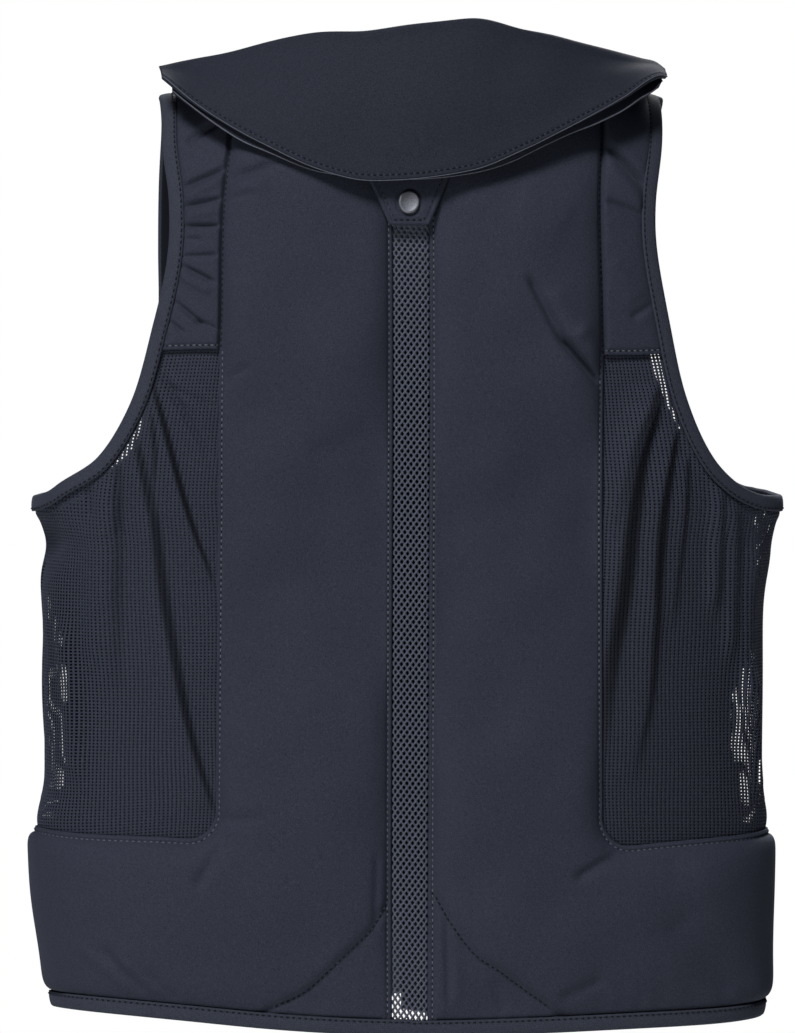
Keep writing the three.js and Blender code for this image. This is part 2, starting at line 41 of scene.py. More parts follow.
# The worn form: every cloth piece lies on one torso shape, a stack of squarish ovals that rounds over into
# the shoulder straps. Sizes are millimetres. A place on it is a girth, the tape-measure way round from the
# middle of the back, and a height z; x runs to the wearer's right, y to the front.
MM = 0.001
SQUARENESS = 0.05
NECK_HALF, TIP_HALF = 75.0, 146.0
STRAP_Z, STRAP_FALL = 10.0, 12.0
STRAP_ROUND = 90.0
GIRTH_DROP = 350.0
TORSO = np.array([  # drop from the shoulder line, half width, depth of the back, depth of the front
    (0, 172, 60, 52), (60, 179, 66, 56), (120, 190, 72, 61), (180, 204, 74, 67), (232, 213, 73, 70),
    (262, 210, 71, 70), (400, 208, 65, 67), (445, 210.5, 63, 65), (490, 209, 62, 63), (570, 200, 62, 62),
], float)


def through_rows(keys, values, at):
    """A smooth curve through a table's rows: between two rows runs a cubic whose slope at each row is the
    chord between its neighbours, and beyond the ends the last value stays."""
    keys, values = np.asarray(keys, float), np.asarray(values, float)
    row = np.arange(len(keys))
    before, after = np.maximum(row - 1, 0), np.minimum(row + 1, len(keys) - 1)
    tail = (1,) * (values.ndim - 1)
    slopes = (values[after] - values[before]) / (keys[after] - keys[before]).reshape((-1,) + tail)
    at = np.clip(np.asarray(at, float), keys[0], keys[-1])
    row = np.clip(np.searchsorted(keys, at, side="right") - 1, 0, len(keys) - 2)
    span = (keys[row + 1] - keys[row]).reshape(at.shape + tail)
    t = (at - keys[row]).reshape(at.shape + tail) / span
    bend = span * t * (1 - t) * ((1 - t) * slopes[row] - t * slopes[row + 1])
    return values[row] + t * t * (3 - 2 * t) * (values[row + 1] - values[row]) + bend


def half_width(drop):
    """Half the torso's width at a drop, read from its table."""
    return through_rows(TORSO[:, 0], TORSO[:, 1], drop)


def sideways(angle):
    """Share of the half width at an angle: a sine with a little third harmonic, which squares the oval."""
    return (np.sin(angle) + SQUARENESS * np.sin(3 * angle)) / (1 - SQUARENESS)


def shoulder_line(x):
    """Height of the strap tops: level to the neck's edge, then half a cosine wave down to the strap's tip."""
    way_out = np.clip((np.abs(x) - NECK_HALF) / (TIP_HALF - NECK_HALF), 0, 1)
    return STRAP_Z + STRAP_FALL * np.cos(np.pi * way_out)


def torso_point(angle, drop):
    """Point of the oval at that drop. The depth is a cosine with its third harmonic taken off, and near the
    top it follows a quarter circle, so that back and front meet in the strap's ridge."""
    depth = np.where(
        np.cos(angle) > 0,
        through_rows(TORSO[:, 0], TORSO[:, 2], drop),
        through_rows(TORSO[:, 0], TORSO[:, 3], drop),
    )
    ridge = np.sqrt(1 - np.clip(1 - drop / STRAP_ROUND, 0, 1) ** 2)
    x = half_width(drop) * sideways(angle)
    y = -depth * ridge * (np.cos(angle) - SQUARENESS * np.cos(3 * angle)) / (1 - SQUARENESS)
    return np.stack([x, y, shoulder_line(x) - drop], -1)


def run_along(points):
    """Length along a line up to each of its points: the sum of the steps before it."""
    return np.concatenate([[0], np.cumsum(np.linalg.norm(np.diff(points, axis=0), axis=1))])


TURN = np.linspace(0, np.pi, 721)
QUARTER = TURN[:361]
GIRTH = run_along(torso_point(TURN, np.full(721, GIRTH_DROP)))


def girth_at(x, z, front=False):
    """Girth of the torso point with this x and z: its share of the half width gives the angle."""
    x, z = np.broadcast_arrays(np.asarray(x, float), np.asarray(z, float))
    share = np.abs(x) / half_width(shoulder_line(x) - z)
    angle = np.interp(np.minimum(share, 1), sideways(QUARTER), QUARTER)
    return np.copysign(np.interp(np.pi - angle if front else angle, TURN, GIRTH), x)


def mark_of(girth, z):
    """Angle and drop of a girth and height, found by stepping x and the shoulder line towards each other."""
    girth, z = np.broadcast_arrays(np.asarray(girth, float), np.asarray(z, float))
    angle = np.copysign(np.interp(np.abs(girth), GIRTH, TURN), girth)
    drop = STRAP_Z - z
    for _ in range(8):
        drop = np.maximum(shoulder_line(half_width(drop) * sideways(angle)) - z, 0)
    return angle, drop


def x_at(girth, z):
    """x of the torso at a girth and height."""
    return torso_point(*mark_of(girth, z))[..., 0]


NAMES = {1: "right", -1: "left"}
LIE = {  # girth, z, reach round the body, reach down, how far out and up the cloth lies off its pattern
    1: [
        (150, -10, 32, 40, 8.6, 0), (306, -10, 32, 40, 8.6, 0), (150, -105, 32, 75, 2.6, 0),
        (200, -226, 22, 18, 0, -3.5), (260, -222, 24, 18, 0, 4.0), (235, -350, 40, 90, 3.2, 0),
        (235, -418, 30, 14, 4.0, 0), (230, -427, 55, 40, 0, -3.0), (225, -535, 50, 35, 5.5, 0),
        (210, -540, 60, 60, 0, -2.5), (130, -150, 45, 22, 0, -1.5),
    ],
    -1: [
        (150, -10, 50, 40, -6.3, 0), (306, -10, 50, 40, -6.3, 0), (150, -135, 32, 40, -2.2, 0),
        (208, -224, 30, 16, 0, 3.2), (235, -420, 30, 14, 4.5, 0), (125, -434, 60, 40, 0, 5.5),
        (225, -505, 60, 40, -5.0, 0), (180, -545, 115, 55, 0, 7.0), (130, -150, 45, 22, 0, 2.3),
    ],
}


def bell(way, reach):
    """1 in the middle and less on both sides: exp of minus the square of the way over the reach."""
    return np.exp(-((way / reach) ** 2))


def mound(girth, z, at, level, reach, deep):
    """A bell both ways, round the body from one girth and down it from one level."""
    return bell(girth - at, reach) * bell(z - level, deep)


def lie(girth, z, side):
    """How far out and up the cloth lies off its pattern: the sum of a mound for each of that side's rows."""
    total = np.zeros(np.broadcast(girth, z).shape + (2,))
    for hand, rows in LIE.items():
        mine = np.asarray(girth) * side * hand >= 0
        for *spot, out, up in rows:
            total += (mine * mound(np.abs(girth), z, *spot))[..., None] * (out, up)
    return total[..., 0], total[..., 1]


def unit(ways):
    """The same ways, each divided by its length."""
    return ways / np.linalg.norm(ways, axis=-1, keepdims=True)


STEP_DOWN, STEP_ROUND = 0.5, 0.004  # millimetres and radians over which a slope is taken


def lay(girth, z, height, side=1):
    """Point that stands height off the torso, along the cross product of its two slopes, and then moves as
    the cloth lies; side -1 mirrors it."""
    out, up = lie(girth, z, side)
    angle, drop = mark_of(girth, z)
    down = torso_point(angle, drop + STEP_DOWN) - torso_point(angle, np.maximum(drop - STEP_DOWN, 0))
    round_ = torso_point(angle + STEP_ROUND, drop) - torso_point(angle - STEP_ROUND, drop)
    normal = unit(np.cross(down, round_))
    point = torso_point(angle, drop) + normal * np.asarray(height, float)[..., None]
    point += np.stack([np.sign(girth) * out, 0 * out, up], -1)
    return point * (side, 1, 1)


# Padded back panels: two layers of plain-woven nylon over an air bladder and foam, one panel each side of
# the spine. Each runs from the neckline down beside the spine and out along the hem to the front side seam.
# Its edges are turned in and topstitched, and a slanting line of stitches holds the bladder's lower corner.
SPINE_EDGE = 10.7
SEAM_X = np.array([(22, 105), (-148, 110.5), (-434, 112)], float)[::-1]  # z, x
NET_TOP_Z = -148.0
CORNER_ROUND = 17.0
BAND_TOP = np.array([(129, -434), (207, -425)], float)  # x, z
FRONT_SEAM_X = np.array([  # z, x on the right, x on the left
    (-420, 200, 200), (-400, 199, 194), (-378, 195, 193), (-355, 195.5, 193), (-320, 206, 195),
    (-290, 208, 204),
], float)
NECK_BACK_DROP = 24.0
HEM_Z, HEM_RISE, HEM_HALF = -543.0, 9.0, 205.0
BAND_MID_Z = -480.0
TAPE_WIDE = 9.5
TUCK = 4.0
STITCH_IN, STITCH_DIP, DIP_WIDE = 2.4, 0.9, 0.8
RIM_HIGH, RIM_RAW, RIM_ROLL, RIM_CLEAR = 2.4, 0.45, 0.7, 3.0
PAD_HIGH, PAD_SOFT, BAND_SOFT, LEAST_HIGH = 5.6, 11.0, 3.5, 0.5
SIDE_FROM, SIDE_OVER = 170.0, 50.0
SLOT_WIDE, SLOT_DEEP, SLOT_SOFT = 1.5, 0.9, 3.0
SLOT_ROLL, ROLL_REACH = 2.2, 9.0
TIE_LINES = {  # x, z from the spine down past the hem
    1: np.array([
        (14.5, -461.3), (22.6, -476), (36.4, -494.5), (52.4, -506), (70.8, -519.6), (82.2, -527.7),
        (110, -548),
    ]),
    -1: np.array([
        (13.6, -466), (22, -480), (39.2, -497.5), (59.8, -518), (81.2, -530), (110, -548),
    ]),
}
TIE_FLAT, TIE_SOFT, TIE_REACH = 0.62, 2.2, 40.0
GROOVE_DEEP, GROOVE_WIDE = 1.6, 1.9
HOLLOW_DEEP, HOLLOW_MID, HOLLOW_LONG, HOLLOW_TOP = 5.0, -270.0, 54.0, 150.0
PUCKER_HIGH, PUCKER_WIDE, PUCKER_REACH = 0.8, 2.2, 9.0
PUCKER_STRAY, PUCKER_BEAT = 1.5, 11.0
WRINKLE_CLEAR = 6.0
FOLD_FULL, FOLD_FADE = 0.32, 0.14  # shares of a fold's length each way from its middle
SLACK = [  # turn for each millimetre across and up, start, height
    (0.05, 0.033, 1.0, 0.9), (0.02, -0.06, 2.0, 0.8), (0.09, 0.05, 0.5, 0.45), (-0.11, 0.07, 3.0, 0.35),
    (0.03, 0.12, 1.3, 0.35), (0.16, -0.02, 2.2, 0.2), (0.07, -0.15, 4.0, 0.2),
]
PANEL_FOLDS = {  # x, z of both ends, half width, height; below zero is a crease
    1: [
        (66, -103, 87, -143, 2.4, -4.0), (84, -138, 112, -168, 2.4, -7.5), (78, -112, 98, -140, 7, 2.2),
        (94, -132, 114, -152, 6, 3.0), (122, -436, 94, -452, 3.6, -2.6),
        (112, -441, 160, -444, 3.2, -2.0), (21, -472, 22.5, -526, 1.9, -2.6),
        (25, -470, 27, -526, 4, 1.2), (60, -60, 90, -75, 14, 1.2), (40, -240, 70, -330, 18, 1.2),
        (150, -470, 190, -520, 14, -2.6), (86, -522, 112, -510, 4, -2.0), (48, -510, 54, -530, 3, -1.0),
    ],
    -1: [
        (108, -51, 78, -42, 2.2, -3.6), (108, -58, 82, -53, 5, 1.6), (108, -61, 88, -58, 1.8, -2.0),
        (110, -167, 92, -156, 3.0, -1.6), (60, -208, 20, -192, 8, -1.2),
        (104, -428, 124, -462, 3.8, -2.4), (120, -424, 82, -417, 4.0, -1.6),
        (19, -436, 20.5, -480, 2.2, -2.6), (189, -493, 160, -524, 3.2, 1.6),
        (179, -493, 150, -524, 3.0, -1.6), (169, -500, 140, -526, 3.2, 1.6),
        (156, -508, 132, -528, 3.0, -1.4), (70, -280, 40, -350, 18, 1.2), (150, -460, 200, -475, 14, 1.4),
    ],
}


def seam_girth(z):
    """Girth of the seam between the back panel and what lies beside it, from the seam's table of x."""
    return girth_at(np.interp(z, SEAM_X[:, 0], SEAM_X[:, 1]), z)


def band_top(girth):
    """Height of the band's upper edge, a straight rise from the net's corner to the side."""
    return np.interp(girth, girth_at(BAND_TOP[:, 0], BAND_TOP[:, 1]), BAND_TOP[:, 1])


def hem(x):
    """Height of the hem's lower edge, which rises as a parabola towards both sides."""
    return HEM_Z + HEM_RISE * (x / HEM_HALF) ** 2


def front_seam_girth(z, side=1):
    """Girth of the front side seam, from that side's column of x."""
    x = through_rows(FRONT_SEAM_X[:, 0], FRONT_SEAM_X[:, 1 if side > 0 else 2], z)
    return girth_at(x, z, front=True)


def notch_way(girth, z):
    """Distance into the panel from the net's upright side, its lower side or its rounded corner."""
    seam, top = seam_girth(z), band_top(girth)
    aside, below = girth - seam - CORNER_ROUND, z - top - CORNER_ROUND
    corner = np.hypot(np.minimum(aside, 0), np.minimum(below, 0)) - CORNER_ROUND
    straight = np.where(below >= 0, -aside, -below) - CORNER_ROUND
    return np.where((aside < 0) & (below < 0), corner, straight)


def slack_waves(x, z, side):
    """Soft unevenness of slack cloth: the sum of slanting waves, one for each row."""
    rows = np.array(SLACK)
    turns = x[..., None] * rows[:, 0] + z[..., None] * rows[:, 1] + side * rows[:, 2]
    return (rows[:, 3] * np.sin(turns)).sum(-1)


def folds(x, z, rows):
    """Sum of folds: each is a bell across its line and fades over the outer fifth of its length."""
    total = np.zeros(np.broadcast(x, z).shape)
    for x0, z0, x1, z1, wide, high in rows:
        dx, dz = x1 - x0, z1 - z0
        length = np.hypot(dx, dz)
        along = ((x - x0) * dx + (z - z0) * dz) / length**2
        across = ((z - z0) * dx - (x - x0) * dz) / length
        past = np.maximum(np.abs(along - 0.5) - FOLD_FULL, 0)
        total += high * bell(past, FOLD_FADE) * bell(across, wide)
    return total


def tie_way(x, z, side):
    """Distance from the slanting tie line, positive above it: the height over it, shortened by its slope."""
    spots, levels = TIE_LINES[side].T
    slope = through_rows(spots, levels, x + 0.5) - through_rows(spots, levels, x - 0.5)
    return (z - through_rows(spots, levels, x)) / np.hypot(1, slope)


def fading(way, reach):
    """1 at an edge and less the further in: exp of minus the way over the reach."""
    return np.exp(-np.maximum(way, 0) / reach)


def step_up(way, soft):
    """A soft step from 0 to 1: one over one plus exp of minus the way over its softness."""
    return 1 / (1 + np.exp(np.clip(-way / soft, -40, 40)))


def rim(way, high, soft=PAD_SOFT):
    """Height of a turned and topstitched edge: it rolls up within a millimetre, dips at the stitches and then
    swells towards its full height, faster the less soft it is."""
    roll = 1 - (1 - RIM_RAW) * fading(way, RIM_ROLL)
    dip = STITCH_DIP * bell(way - STITCH_IN, DIP_WIDE)
    return RIM_HIGH * roll - dip + high * (1 - fading(way - STITCH_IN, soft))


def panel_height(girth, z, side):
    """Height of a back panel: the least distance to an edge sets the rim and the swell; beside the shoulder
    it dives into a slot; the tie line presses a groove and flattens the corner below it; folds, slack, a
    long hollow in the small of the back and puckers along the hem come on top."""
    angle, drop = mark_of(girth, z)
    x = torso_point(angle, drop)[..., 0]
    scale = half_width(drop) / half_width(GIRTH_DROP)
    from_net, from_hem = notch_way(girth, z), z - hem(x) - TAPE_WIDE + STITCH_IN
    from_spine, from_side = girth - girth_at(SPINE_EDGE, z), front_seam_girth(z, side) - girth
    way = np.minimum.reduce([from_spine * scale, from_net, from_hem, from_side * scale])
    tie = tie_way(x, z, side)
    corner = np.where(girth < seam_girth(z) + TIE_REACH, TIE_FLAT * step_up(-tie, TIE_SOFT), 0)
    groove = GROOVE_DEEP * bell(tie, GROOVE_WIDE) * fading(RIM_CLEAR - way, 1) * (corner > 0)
    inner = 1 - fading(way - STITCH_IN, WRINKLE_CLEAR)
    round_side = np.clip((girth - SIDE_FROM) / SIDE_OVER, 0, 1)
    hollow = -HOLLOW_DEEP * np.cos((z - HOLLOW_MID) / HOLLOW_LONG) * np.clip(-z / HOLLOW_TOP, 0, 1)
    stray = PUCKER_STRAY * np.sin(x / PUCKER_BEAT + side)
    puckers = PUCKER_HIGH * fading(from_hem, PUCKER_REACH) * np.sin(x / PUCKER_WIDE + stray)
    uneven = (slack_waves(x, z, side) + hollow) * (1 - round_side) + puckers
    wrinkles = (folds(x, z, PANEL_FOLDS[side]) + uneven) * inner
    soft = PAD_SOFT - (PAD_SOFT - BAND_SOFT) * round_side
    beside, above = np.maximum(from_net, 0), step_up(z - NET_TOP_Z, SLOT_SOFT)
    rolled = rim(way, PAD_HIGH, soft) + SLOT_ROLL * above * fading(beside, ROLL_REACH)
    slot = 1 - SLOT_DEEP * above * bell(beside, SLOT_WIDE)
    return np.maximum(rolled * slot * (1 - corner * inner) - groove + wrinkles, LEAST_HIGH)


def put_mesh(name, points, faces, weave=None):
    """A new object from points in millimetres and lists of faces of one length each; weave is the place on
    the flat cloth, in millimetres, kept as a UV map."""
    mesh = bpy.data.meshes.new(name)
    points = points.reshape(-1, 3)
    corners = np.concatenate([f.ravel() for f in faces]).astype(np.int32)
    sizes = np.concatenate([np.full(len(f), f.shape[1]) for f in faces])
    mesh.vertices.add(len(points))
    mesh.vertices.foreach_set("co", (points * MM).ravel().astype(np.float32))
    mesh.loops.add(len(corners))
    mesh.loops.foreach_set("vertex_index", corners)
    mesh.polygons.add(len(sizes))
    mesh.polygons.foreach_set("loop_start", (np.cumsum(sizes) - sizes).astype(np.int32))
    mesh.polygons.foreach_set("use_smooth", np.ones(len(sizes), bool))
    if weave is not None:
        layer = mesh.uv_layers.new(name="weave")
        layer.data.foreach_set("uv", weave.reshape(-1, 2)[corners].ravel().astype(np.float32))
    mesh.update(calc_edges=True)
    piece = bpy.data.objects.new(name, mesh)
    bpy.context.scene.collection.objects.link(piece)
    return piece


def quads(grid):
    """The quads of a grid of point numbers, facing the way rows go down and columns go right."""
    return np.stack([grid[:-1, :-1], grid[1:, :-1], grid[1:, 1:], grid[:-1, 1:]], -1).reshape(-1, 4)


def cloth_slab(name, outer, inner, weave, side=1, step=4):
    """A closed slab of a fine outer face and an inner face with every step-th point, joined by many-sided
    strips; the inner face takes the piece's second paint if it has one."""
    rows, columns = outer.shape[:2]
    face = np.arange(rows * columns).reshape(rows, columns)
    lining = inner[::step, ::step]
    back = rows * columns + np.arange(lining[..., 0].size).reshape(lining.shape[:2])
    strips = []
    for edge, hid in (
        (face[0], back[0]),
        (face[-1, ::-1], back[-1, ::-1]),
        (face[::-1, 0], back[::-1, 0]),
        (face[:, -1], back[:, -1]),
    ):
        first = np.arange(len(hid) - 1)[:, None] * step + np.arange(step + 1)
        strips.append(np.hstack([edge[first], hid[1:, None], hid[:-1, None]]))
    faces = [quads(face), quads(back)[:, ::-1], *strips]
    faces = [f[:, ::side] for f in faces]
    points = np.concatenate([outer.reshape(-1, 3), lining.reshape(-1, 3)])
    places = np.concatenate([weave.reshape(-1, 2), weave[::step, ::step].reshape(-1, 2)])
    piece = put_mesh(name, points, faces, places)
    inside = np.concatenate([np.full(len(f), k == 1) for k, f in enumerate(faces)])
    piece.data.polygons.foreach_set("material_index", inside.astype(np.int32))
    return piece


FLECKS, FLECK_SPREAD, THREAD_DEEP = 1700.0, 0.2, 0.25


def add_node(paint, kind, values, fed):
    """A new node of a paint or of the room, some of its sockets set and some fed by other nodes."""
    node = paint.node_tree.nodes.new(f"ShaderNode{kind}")
    for socket, value in values.items():
        node.inputs[socket].default_value = value
    for socket, source in fed.items():
        paint.node_tree.links.new(source, node.inputs[socket])
    return node


def flecked(name, dark, light, spread, flecks, surface):
    """A new paint whose colour runs between two shades with a noise, so many flecks to the metre; the shades
    are reached at a half less and plus the spread. Its place node and its flecks come with it."""
    paint = bpy.data.materials.new(name)
    paint.use_nodes = True
    place = add_node(paint, "TexCoord", {}, {})
    noise = add_node(paint, "TexNoise", {"Scale": flecks, "Detail": 3}, {"Vector": place.outputs["Object"]})
    shades = add_node(paint, "ValToRGB", {}, {"Fac": noise.outputs["Fac"]})
    for stop, colour, way in zip(shades.color_ramp.elements, (dark, light), (-spread, spread)):
        stop.color = (*colour, 1)
        stop.position = 0.5 + way
    shader = paint.node_tree.nodes["Principled BSDF"]
    paint.node_tree.links.new(shades.outputs["Color"], shader.inputs["Base Color"])
    for socket, value in surface.items():
        shader.inputs[socket].default_value = value
    return paint, place, noise.outputs["Fac"]


def stand_up(paint, high, strength, deep):
    """Raises a paint where high is large, by a bump of that strength and that many millimetres."""
    bump = add_node(paint, "Bump", {"Strength": strength, "Distance": deep * MM}, {"Height": high})
    shader = paint.node_tree.nodes["Principled BSDF"]
    paint.node_tree.links.new(bump.outputs["Normal"], shader.inputs["Normal"])
    return paint


def cloth_paint(name, dark, light, weave, bump, sheen):
    """Woven cloth: a fine fleck between two shades, and raised threads as the product of two waves on the
    flat cloth, weave millimetres apart, with the fleck added."""
    paint, place, fleck = flecked(name, dark, light, FLECK_SPREAD, FLECKS, {
        "Roughness": 0.82,
        "Specular IOR Level": 0.22,
        "Sheen Weight": sheen,
        "Sheen Roughness": 0.45,
        "Sheen Tint": (0.55, 0.62, 0.85, 1),
    })
    threads = []
    for way in ("X", "Y"):
        scale = {"Scale": np.pi / 10 / weave, "Distortion": 0.6}
        wave = add_node(paint, "TexWave", scale, {"Vector": place.outputs["UV"]})
        wave.bands_direction = way
        threads.append(wave.outputs["Fac"])
    crossing = add_node(paint, "Math", {}, {0: threads[0], 1: threads[1]})
    crossing.operation = "MULTIPLY"
    raised = add_node(paint, "Math", {}, {0: crossing.outputs["Value"], 1: fleck})
    raised.operation = "ADD"
    return stand_up(paint, raised.outputs["Value"], bump, THREAD_DEEP)


def settle(piece, paint, slot, *nodes, inside=None):
    """Gives a piece its paint, its inside's paint, its place on the vest's one body and the CAD nodes it
    stands for; the slot is not used."""
    piece.data.materials.append(paint)
    if inside:
        piece.data.materials.append(inside)
    else:
        piece.data.polygons.foreach_set("material_index", np.zeros(len(piece.data.polygons), np.int32))
    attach(piece, "root")
    if nodes:
        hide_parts(*nodes)
    return piece


# The black lining paint is the padded pieces' lining; on the binding tapes' inner leaves it is painted shade.
lining = cloth_paint("lining in black and painted tape shade", (0.0045, 0.0052, 0.009), (0.0085, 0.0098, 0.016), 0.55, 0.4, 0.0)
shell = cloth_paint("plain nylon", (0.0141, 0.0169, 0.0293), (0.0389, 0.0443, 0.0652), 0.55, 0.4, 0.05)


def padded_slab(name, girth, z, high, side, node):
    """A padded piece of shell cloth from the torso up to that height, lined with black."""
    outer, inner = lay(girth, z, high, side), lay(girth, z, 0 * high, side)
    piece = cloth_slab(name, outer, inner, np.stack([girth, z], -1), side)
    settle(piece, shell, "shell_fabric", node, inside=lining)


def crowded(count, fine, pitch, length):
    """Places from 0 to 1, fine steps of pitch at both ends and even steps between."""
    ends = np.arange(fine) * pitch / length
    inset = fine * pitch / length
    return np.concatenate([ends, np.linspace(inset, 1 - inset, count - 2 * fine), 1 - ends[::-1]])


def neckline(x, deep):
    """Height of the neckline: the shoulder line less a parabola that is deep in the middle."""
    return shoulder_line(x) - deep * np.maximum(0, 1 - (x / NECK_HALF) ** 2)


def panel_grid():
    """Girths and heights of a panel's grid. Rows go down the leg, fan round the net's corner and go on along
    the band; columns go from the spine and the hem to the net's side."""
    across = crowded(81, 10, 0.6, 95)
    leg = np.linspace(0, 1, 261)[:-1, None]
    fan = np.linspace(0, 1, 121)[:-1, None]
    band = np.linspace(0, 1, 113)[:, None]
    turn_z = BAND_TOP[0, 1] + CORNER_ROUND
    rough = STRAP_Z + leg * (turn_z - STRAP_Z)
    spine, seam = girth_at(SPINE_EDGE, rough), seam_girth(rough)
    girth = spine + (seam - spine) * across
    neck = neckline(x_at(girth, rough), NECK_BACK_DROP)
    leg_grid = np.stack([girth, neck + leg * (turn_z - neck)], -1)
    spine, bend = girth_at(SPINE_EDGE, turn_z), seam_girth(turn_z) + CORNER_ROUND
    around = np.pi + fan * np.pi / 2
    inside = np.stack([bend + CORNER_ROUND * np.cos(around), turn_z + CORNER_ROUND * np.sin(around)], -1)
    foot = HEM_Z + TUCK
    out_girth = np.where(fan < 0.5, spine, spine + (bend - spine) * (2 * fan - 1))
    out_z = np.where(fan < 0.5, turn_z + (foot - turn_z) * 2 * fan, foot)
    outside = np.stack([out_girth, out_z], -1)
    fan_grid = outside + (inside - outside) * across[None, :, None]
    top = bend + (front_seam_girth(BAND_MID_Z) - bend) * band
    band_in = np.stack([top, band_top(top)], -1)
    band_out = np.stack([top, np.full_like(top, foot)], -1)
    band_grid = band_out + (band_in - band_out) * across[None, :, None]
    grid = np.concatenate([leg_grid, fan_grid, band_grid])
    x = x_at(grid[..., 0], grid[..., 1])
    share = np.clip((turn_z - grid[..., 1]) / (turn_z - foot), 0, 1)
    grid[..., 1] += share * (hem(x) - HEM_Z)
    return grid[..., 0], grid[..., 1]


panel_girth, panel_z = panel_grid()
for side, name in NAMES.items():
    high = panel_height(panel_girth, panel_z, side)
    padded_slab(f"padded_back_{name}", panel_girth, panel_z, high, side, f"back_panel_{name}")

# Topstitching of the back panels: polyester thread, a stitch every 3.5 mm, each a short thread whose ends
# dive into the cloth. It is pale along the spine, the seam and the net, and dark on the slanting tie line
# and in the shoulder's seam.
STITCH_PITCH, STITCH_LONG, THREAD, NEEDLE = 3.5, 2.3, 0.46, 1.4
STITCH_RINGS = np.array([(-1, 0.35), (-0.55, 1), (0.55, 1), (1, 0.35)])  # place along, thickness there
STITCH_UP, STITCH_SUNK, HOLE_UP, CHORD = 0.15, 1.1, 0.2, 0.8
SEWN_FROM, SLOT_SEWN_FROM, SLOT_SEWN_IN, TIE_UP = -55.0, -12.0, 1.0, 0.35
NET_SEWN_Z, SEAM_CLEAR = -430.0, 2.0


def read_line(way, run, values):
    """Values at these lengths along a line, each column read straight between the line's points."""
    return np.stack([np.interp(way, run, column) for column in values.T], -1)


def stitch_mesh(lines):
    """Points and faces of stitches along lines of (points, outward ways): a tapered tube of four rings every
    pitch, along the line's chord, its ends sunk by the thread's thickness, and after each a flat disc for the
    hole the needle left, which takes the piece's second paint."""
    ends, thick = STITCH_RINGS[:, 0], STITCH_RINGS[:, 1:] * THREAD
    turn = np.arange(6) * np.pi / 3
    sunk = thick * np.sin(turn) - THREAD * STITCH_SUNK * np.abs(ends[:, None]) ** 3
    hole_along = (STITCH_PITCH + NEEDLE * np.cos(turn)) / 2
    rings = np.stack([
        np.concatenate([np.repeat(ends * STITCH_LONG / 2, 6), hole_along]),
        np.concatenate([(thick * np.cos(turn)).ravel(), NEEDLE / 2 * np.sin(turn)]),
        np.concatenate([sunk.ravel() + STITCH_UP, np.full(6, HOLE_UP)]),
    ], -1)
    points = []
    for path, up in lines:
        run = run_along(path)
        middle = (np.arange(int(run[-1] / STITCH_PITCH)) + 0.5) * STITCH_PITCH
        along = unit(read_line(middle + CHORD, run, path) - read_line(middle - CHORD, run, path))
        normal = unit(read_line(middle, run, up))
        ways = np.stack([along, np.cross(normal, along), normal], 1)
        points.append(read_line(middle, run, path)[:, None] + rings @ ways)
    points = np.concatenate(points)
    loop = np.arange(24).reshape(4, 6)
    tube = quads(np.hstack([loop, loop[:, :1]]))
    caps = np.stack([loop[0], loop[-1, ::-1]])
    first = np.arange(len(points))[:, None, None] * 30
    holes = 24 + np.arange(6) + first[:, 0]
    return points, [(tube + first).reshape(-1, 4), (caps + first).reshape(-1, 6), holes]


thread = cloth_paint("thread", (0.0035, 0.0042, 0.0072), (0.0085, 0.01, 0.0155), 0.3, 0.2, 0.0)
# The pale thread paint also colours the collar's edge rolls, where it is a painted highlight.
pale_stitching_and_highlight = cloth_paint("pale stitching and painted highlight", (0.07, 0.077, 0.1), (0.13, 0.14, 0.17), 0.3, 0.2, 0.0)
# Each hole the needle leaves is a flat near-black disc: painted shade in the hole.
hole_shade = cloth_paint("stitch hole painted shade", (0.0035, 0.0035, 0.0055), (0.0045, 0.0045, 0.0065), 0.3, 0.0, 0.0)


def sew(name, lines, yarn=thread, between=shell):
    """One piece of all these lines' stitches, with a disc of painted shade for each hole the needle left, or
    the cloth's own swell, between them.
    """
    points, faces = stitch_mesh(lines)
    piece = settle(put_mesh(name, points, faces), yarn, "shell_fabric", inside=between)
    paints = np.concatenate([np.full(len(f), k == 2) for k, f in enumerate(faces)])
    piece.data.polygons.foreach_set("material_index", paints.astype(np.int32))
    return piece


def stitch_line(girth, z, height, side=1):
    """A line for sewing: points that height off the torso and the outward way at each."""
    low, top = lay(girth, z, height, side), lay(girth, z, height + 1, side)
    return low, top - low


def line_on(height, girth, z, side, lift=0.0):
    """A line for sewing on the outer face of pieces with that height, or that lift over it."""
    return stitch_line(girth, z, height(girth, z, side) + lift, side)


for side, name in NAMES.items():
    z = np.linspace(SEWN_FROM, HEM_Z + TAPE_WIDE, 400)
    lines = [line_on(panel_height, girth_at(SPINE_EDGE, z) + STITCH_IN, z, side)]
    z = np.linspace(NET_TOP_Z, BAND_TOP[0, 1] + CORNER_ROUND, 300)
    around = np.linspace(np.pi, np.pi * 1.5, 40)
    bend = seam_girth(z[-1]) + CORNER_ROUND
    top = np.linspace(bend, front_seam_girth(NET_SEWN_Z) - SEAM_CLEAR, 160)
    girth = np.concatenate([
        seam_girth(z) - STITCH_IN,
        bend + (CORNER_ROUND + STITCH_IN) * np.cos(around),
        top,
    ])
    z = np.concatenate([z, z[-1] + (CORNER_ROUND + STITCH_IN) * np.sin(around), band_top(top) - STITCH_IN])
    lines.append(line_on(panel_height, girth, z, side))
    sew(f"panel_stitches_{name}", lines, pale_stitching_and_highlight, hole_shade)
    tie_x = np.linspace(TIE_LINES[side][0, 0], TIE_LINES[side][-2, 0], 160)
    tie_z = through_rows(*TIE_LINES[side].T, tie_x)
    slot_z = np.linspace(SLOT_SEWN_FROM, NET_TOP_Z, 100)
    sew(f"tie_stitches_{name}", [
        line_on(panel_height, girth_at(tie_x, tie_z), tie_z, side, TIE_UP),
        line_on(panel_height, seam_girth(slot_z) - SLOT_SEWN_IN, slot_z, side),
    ])

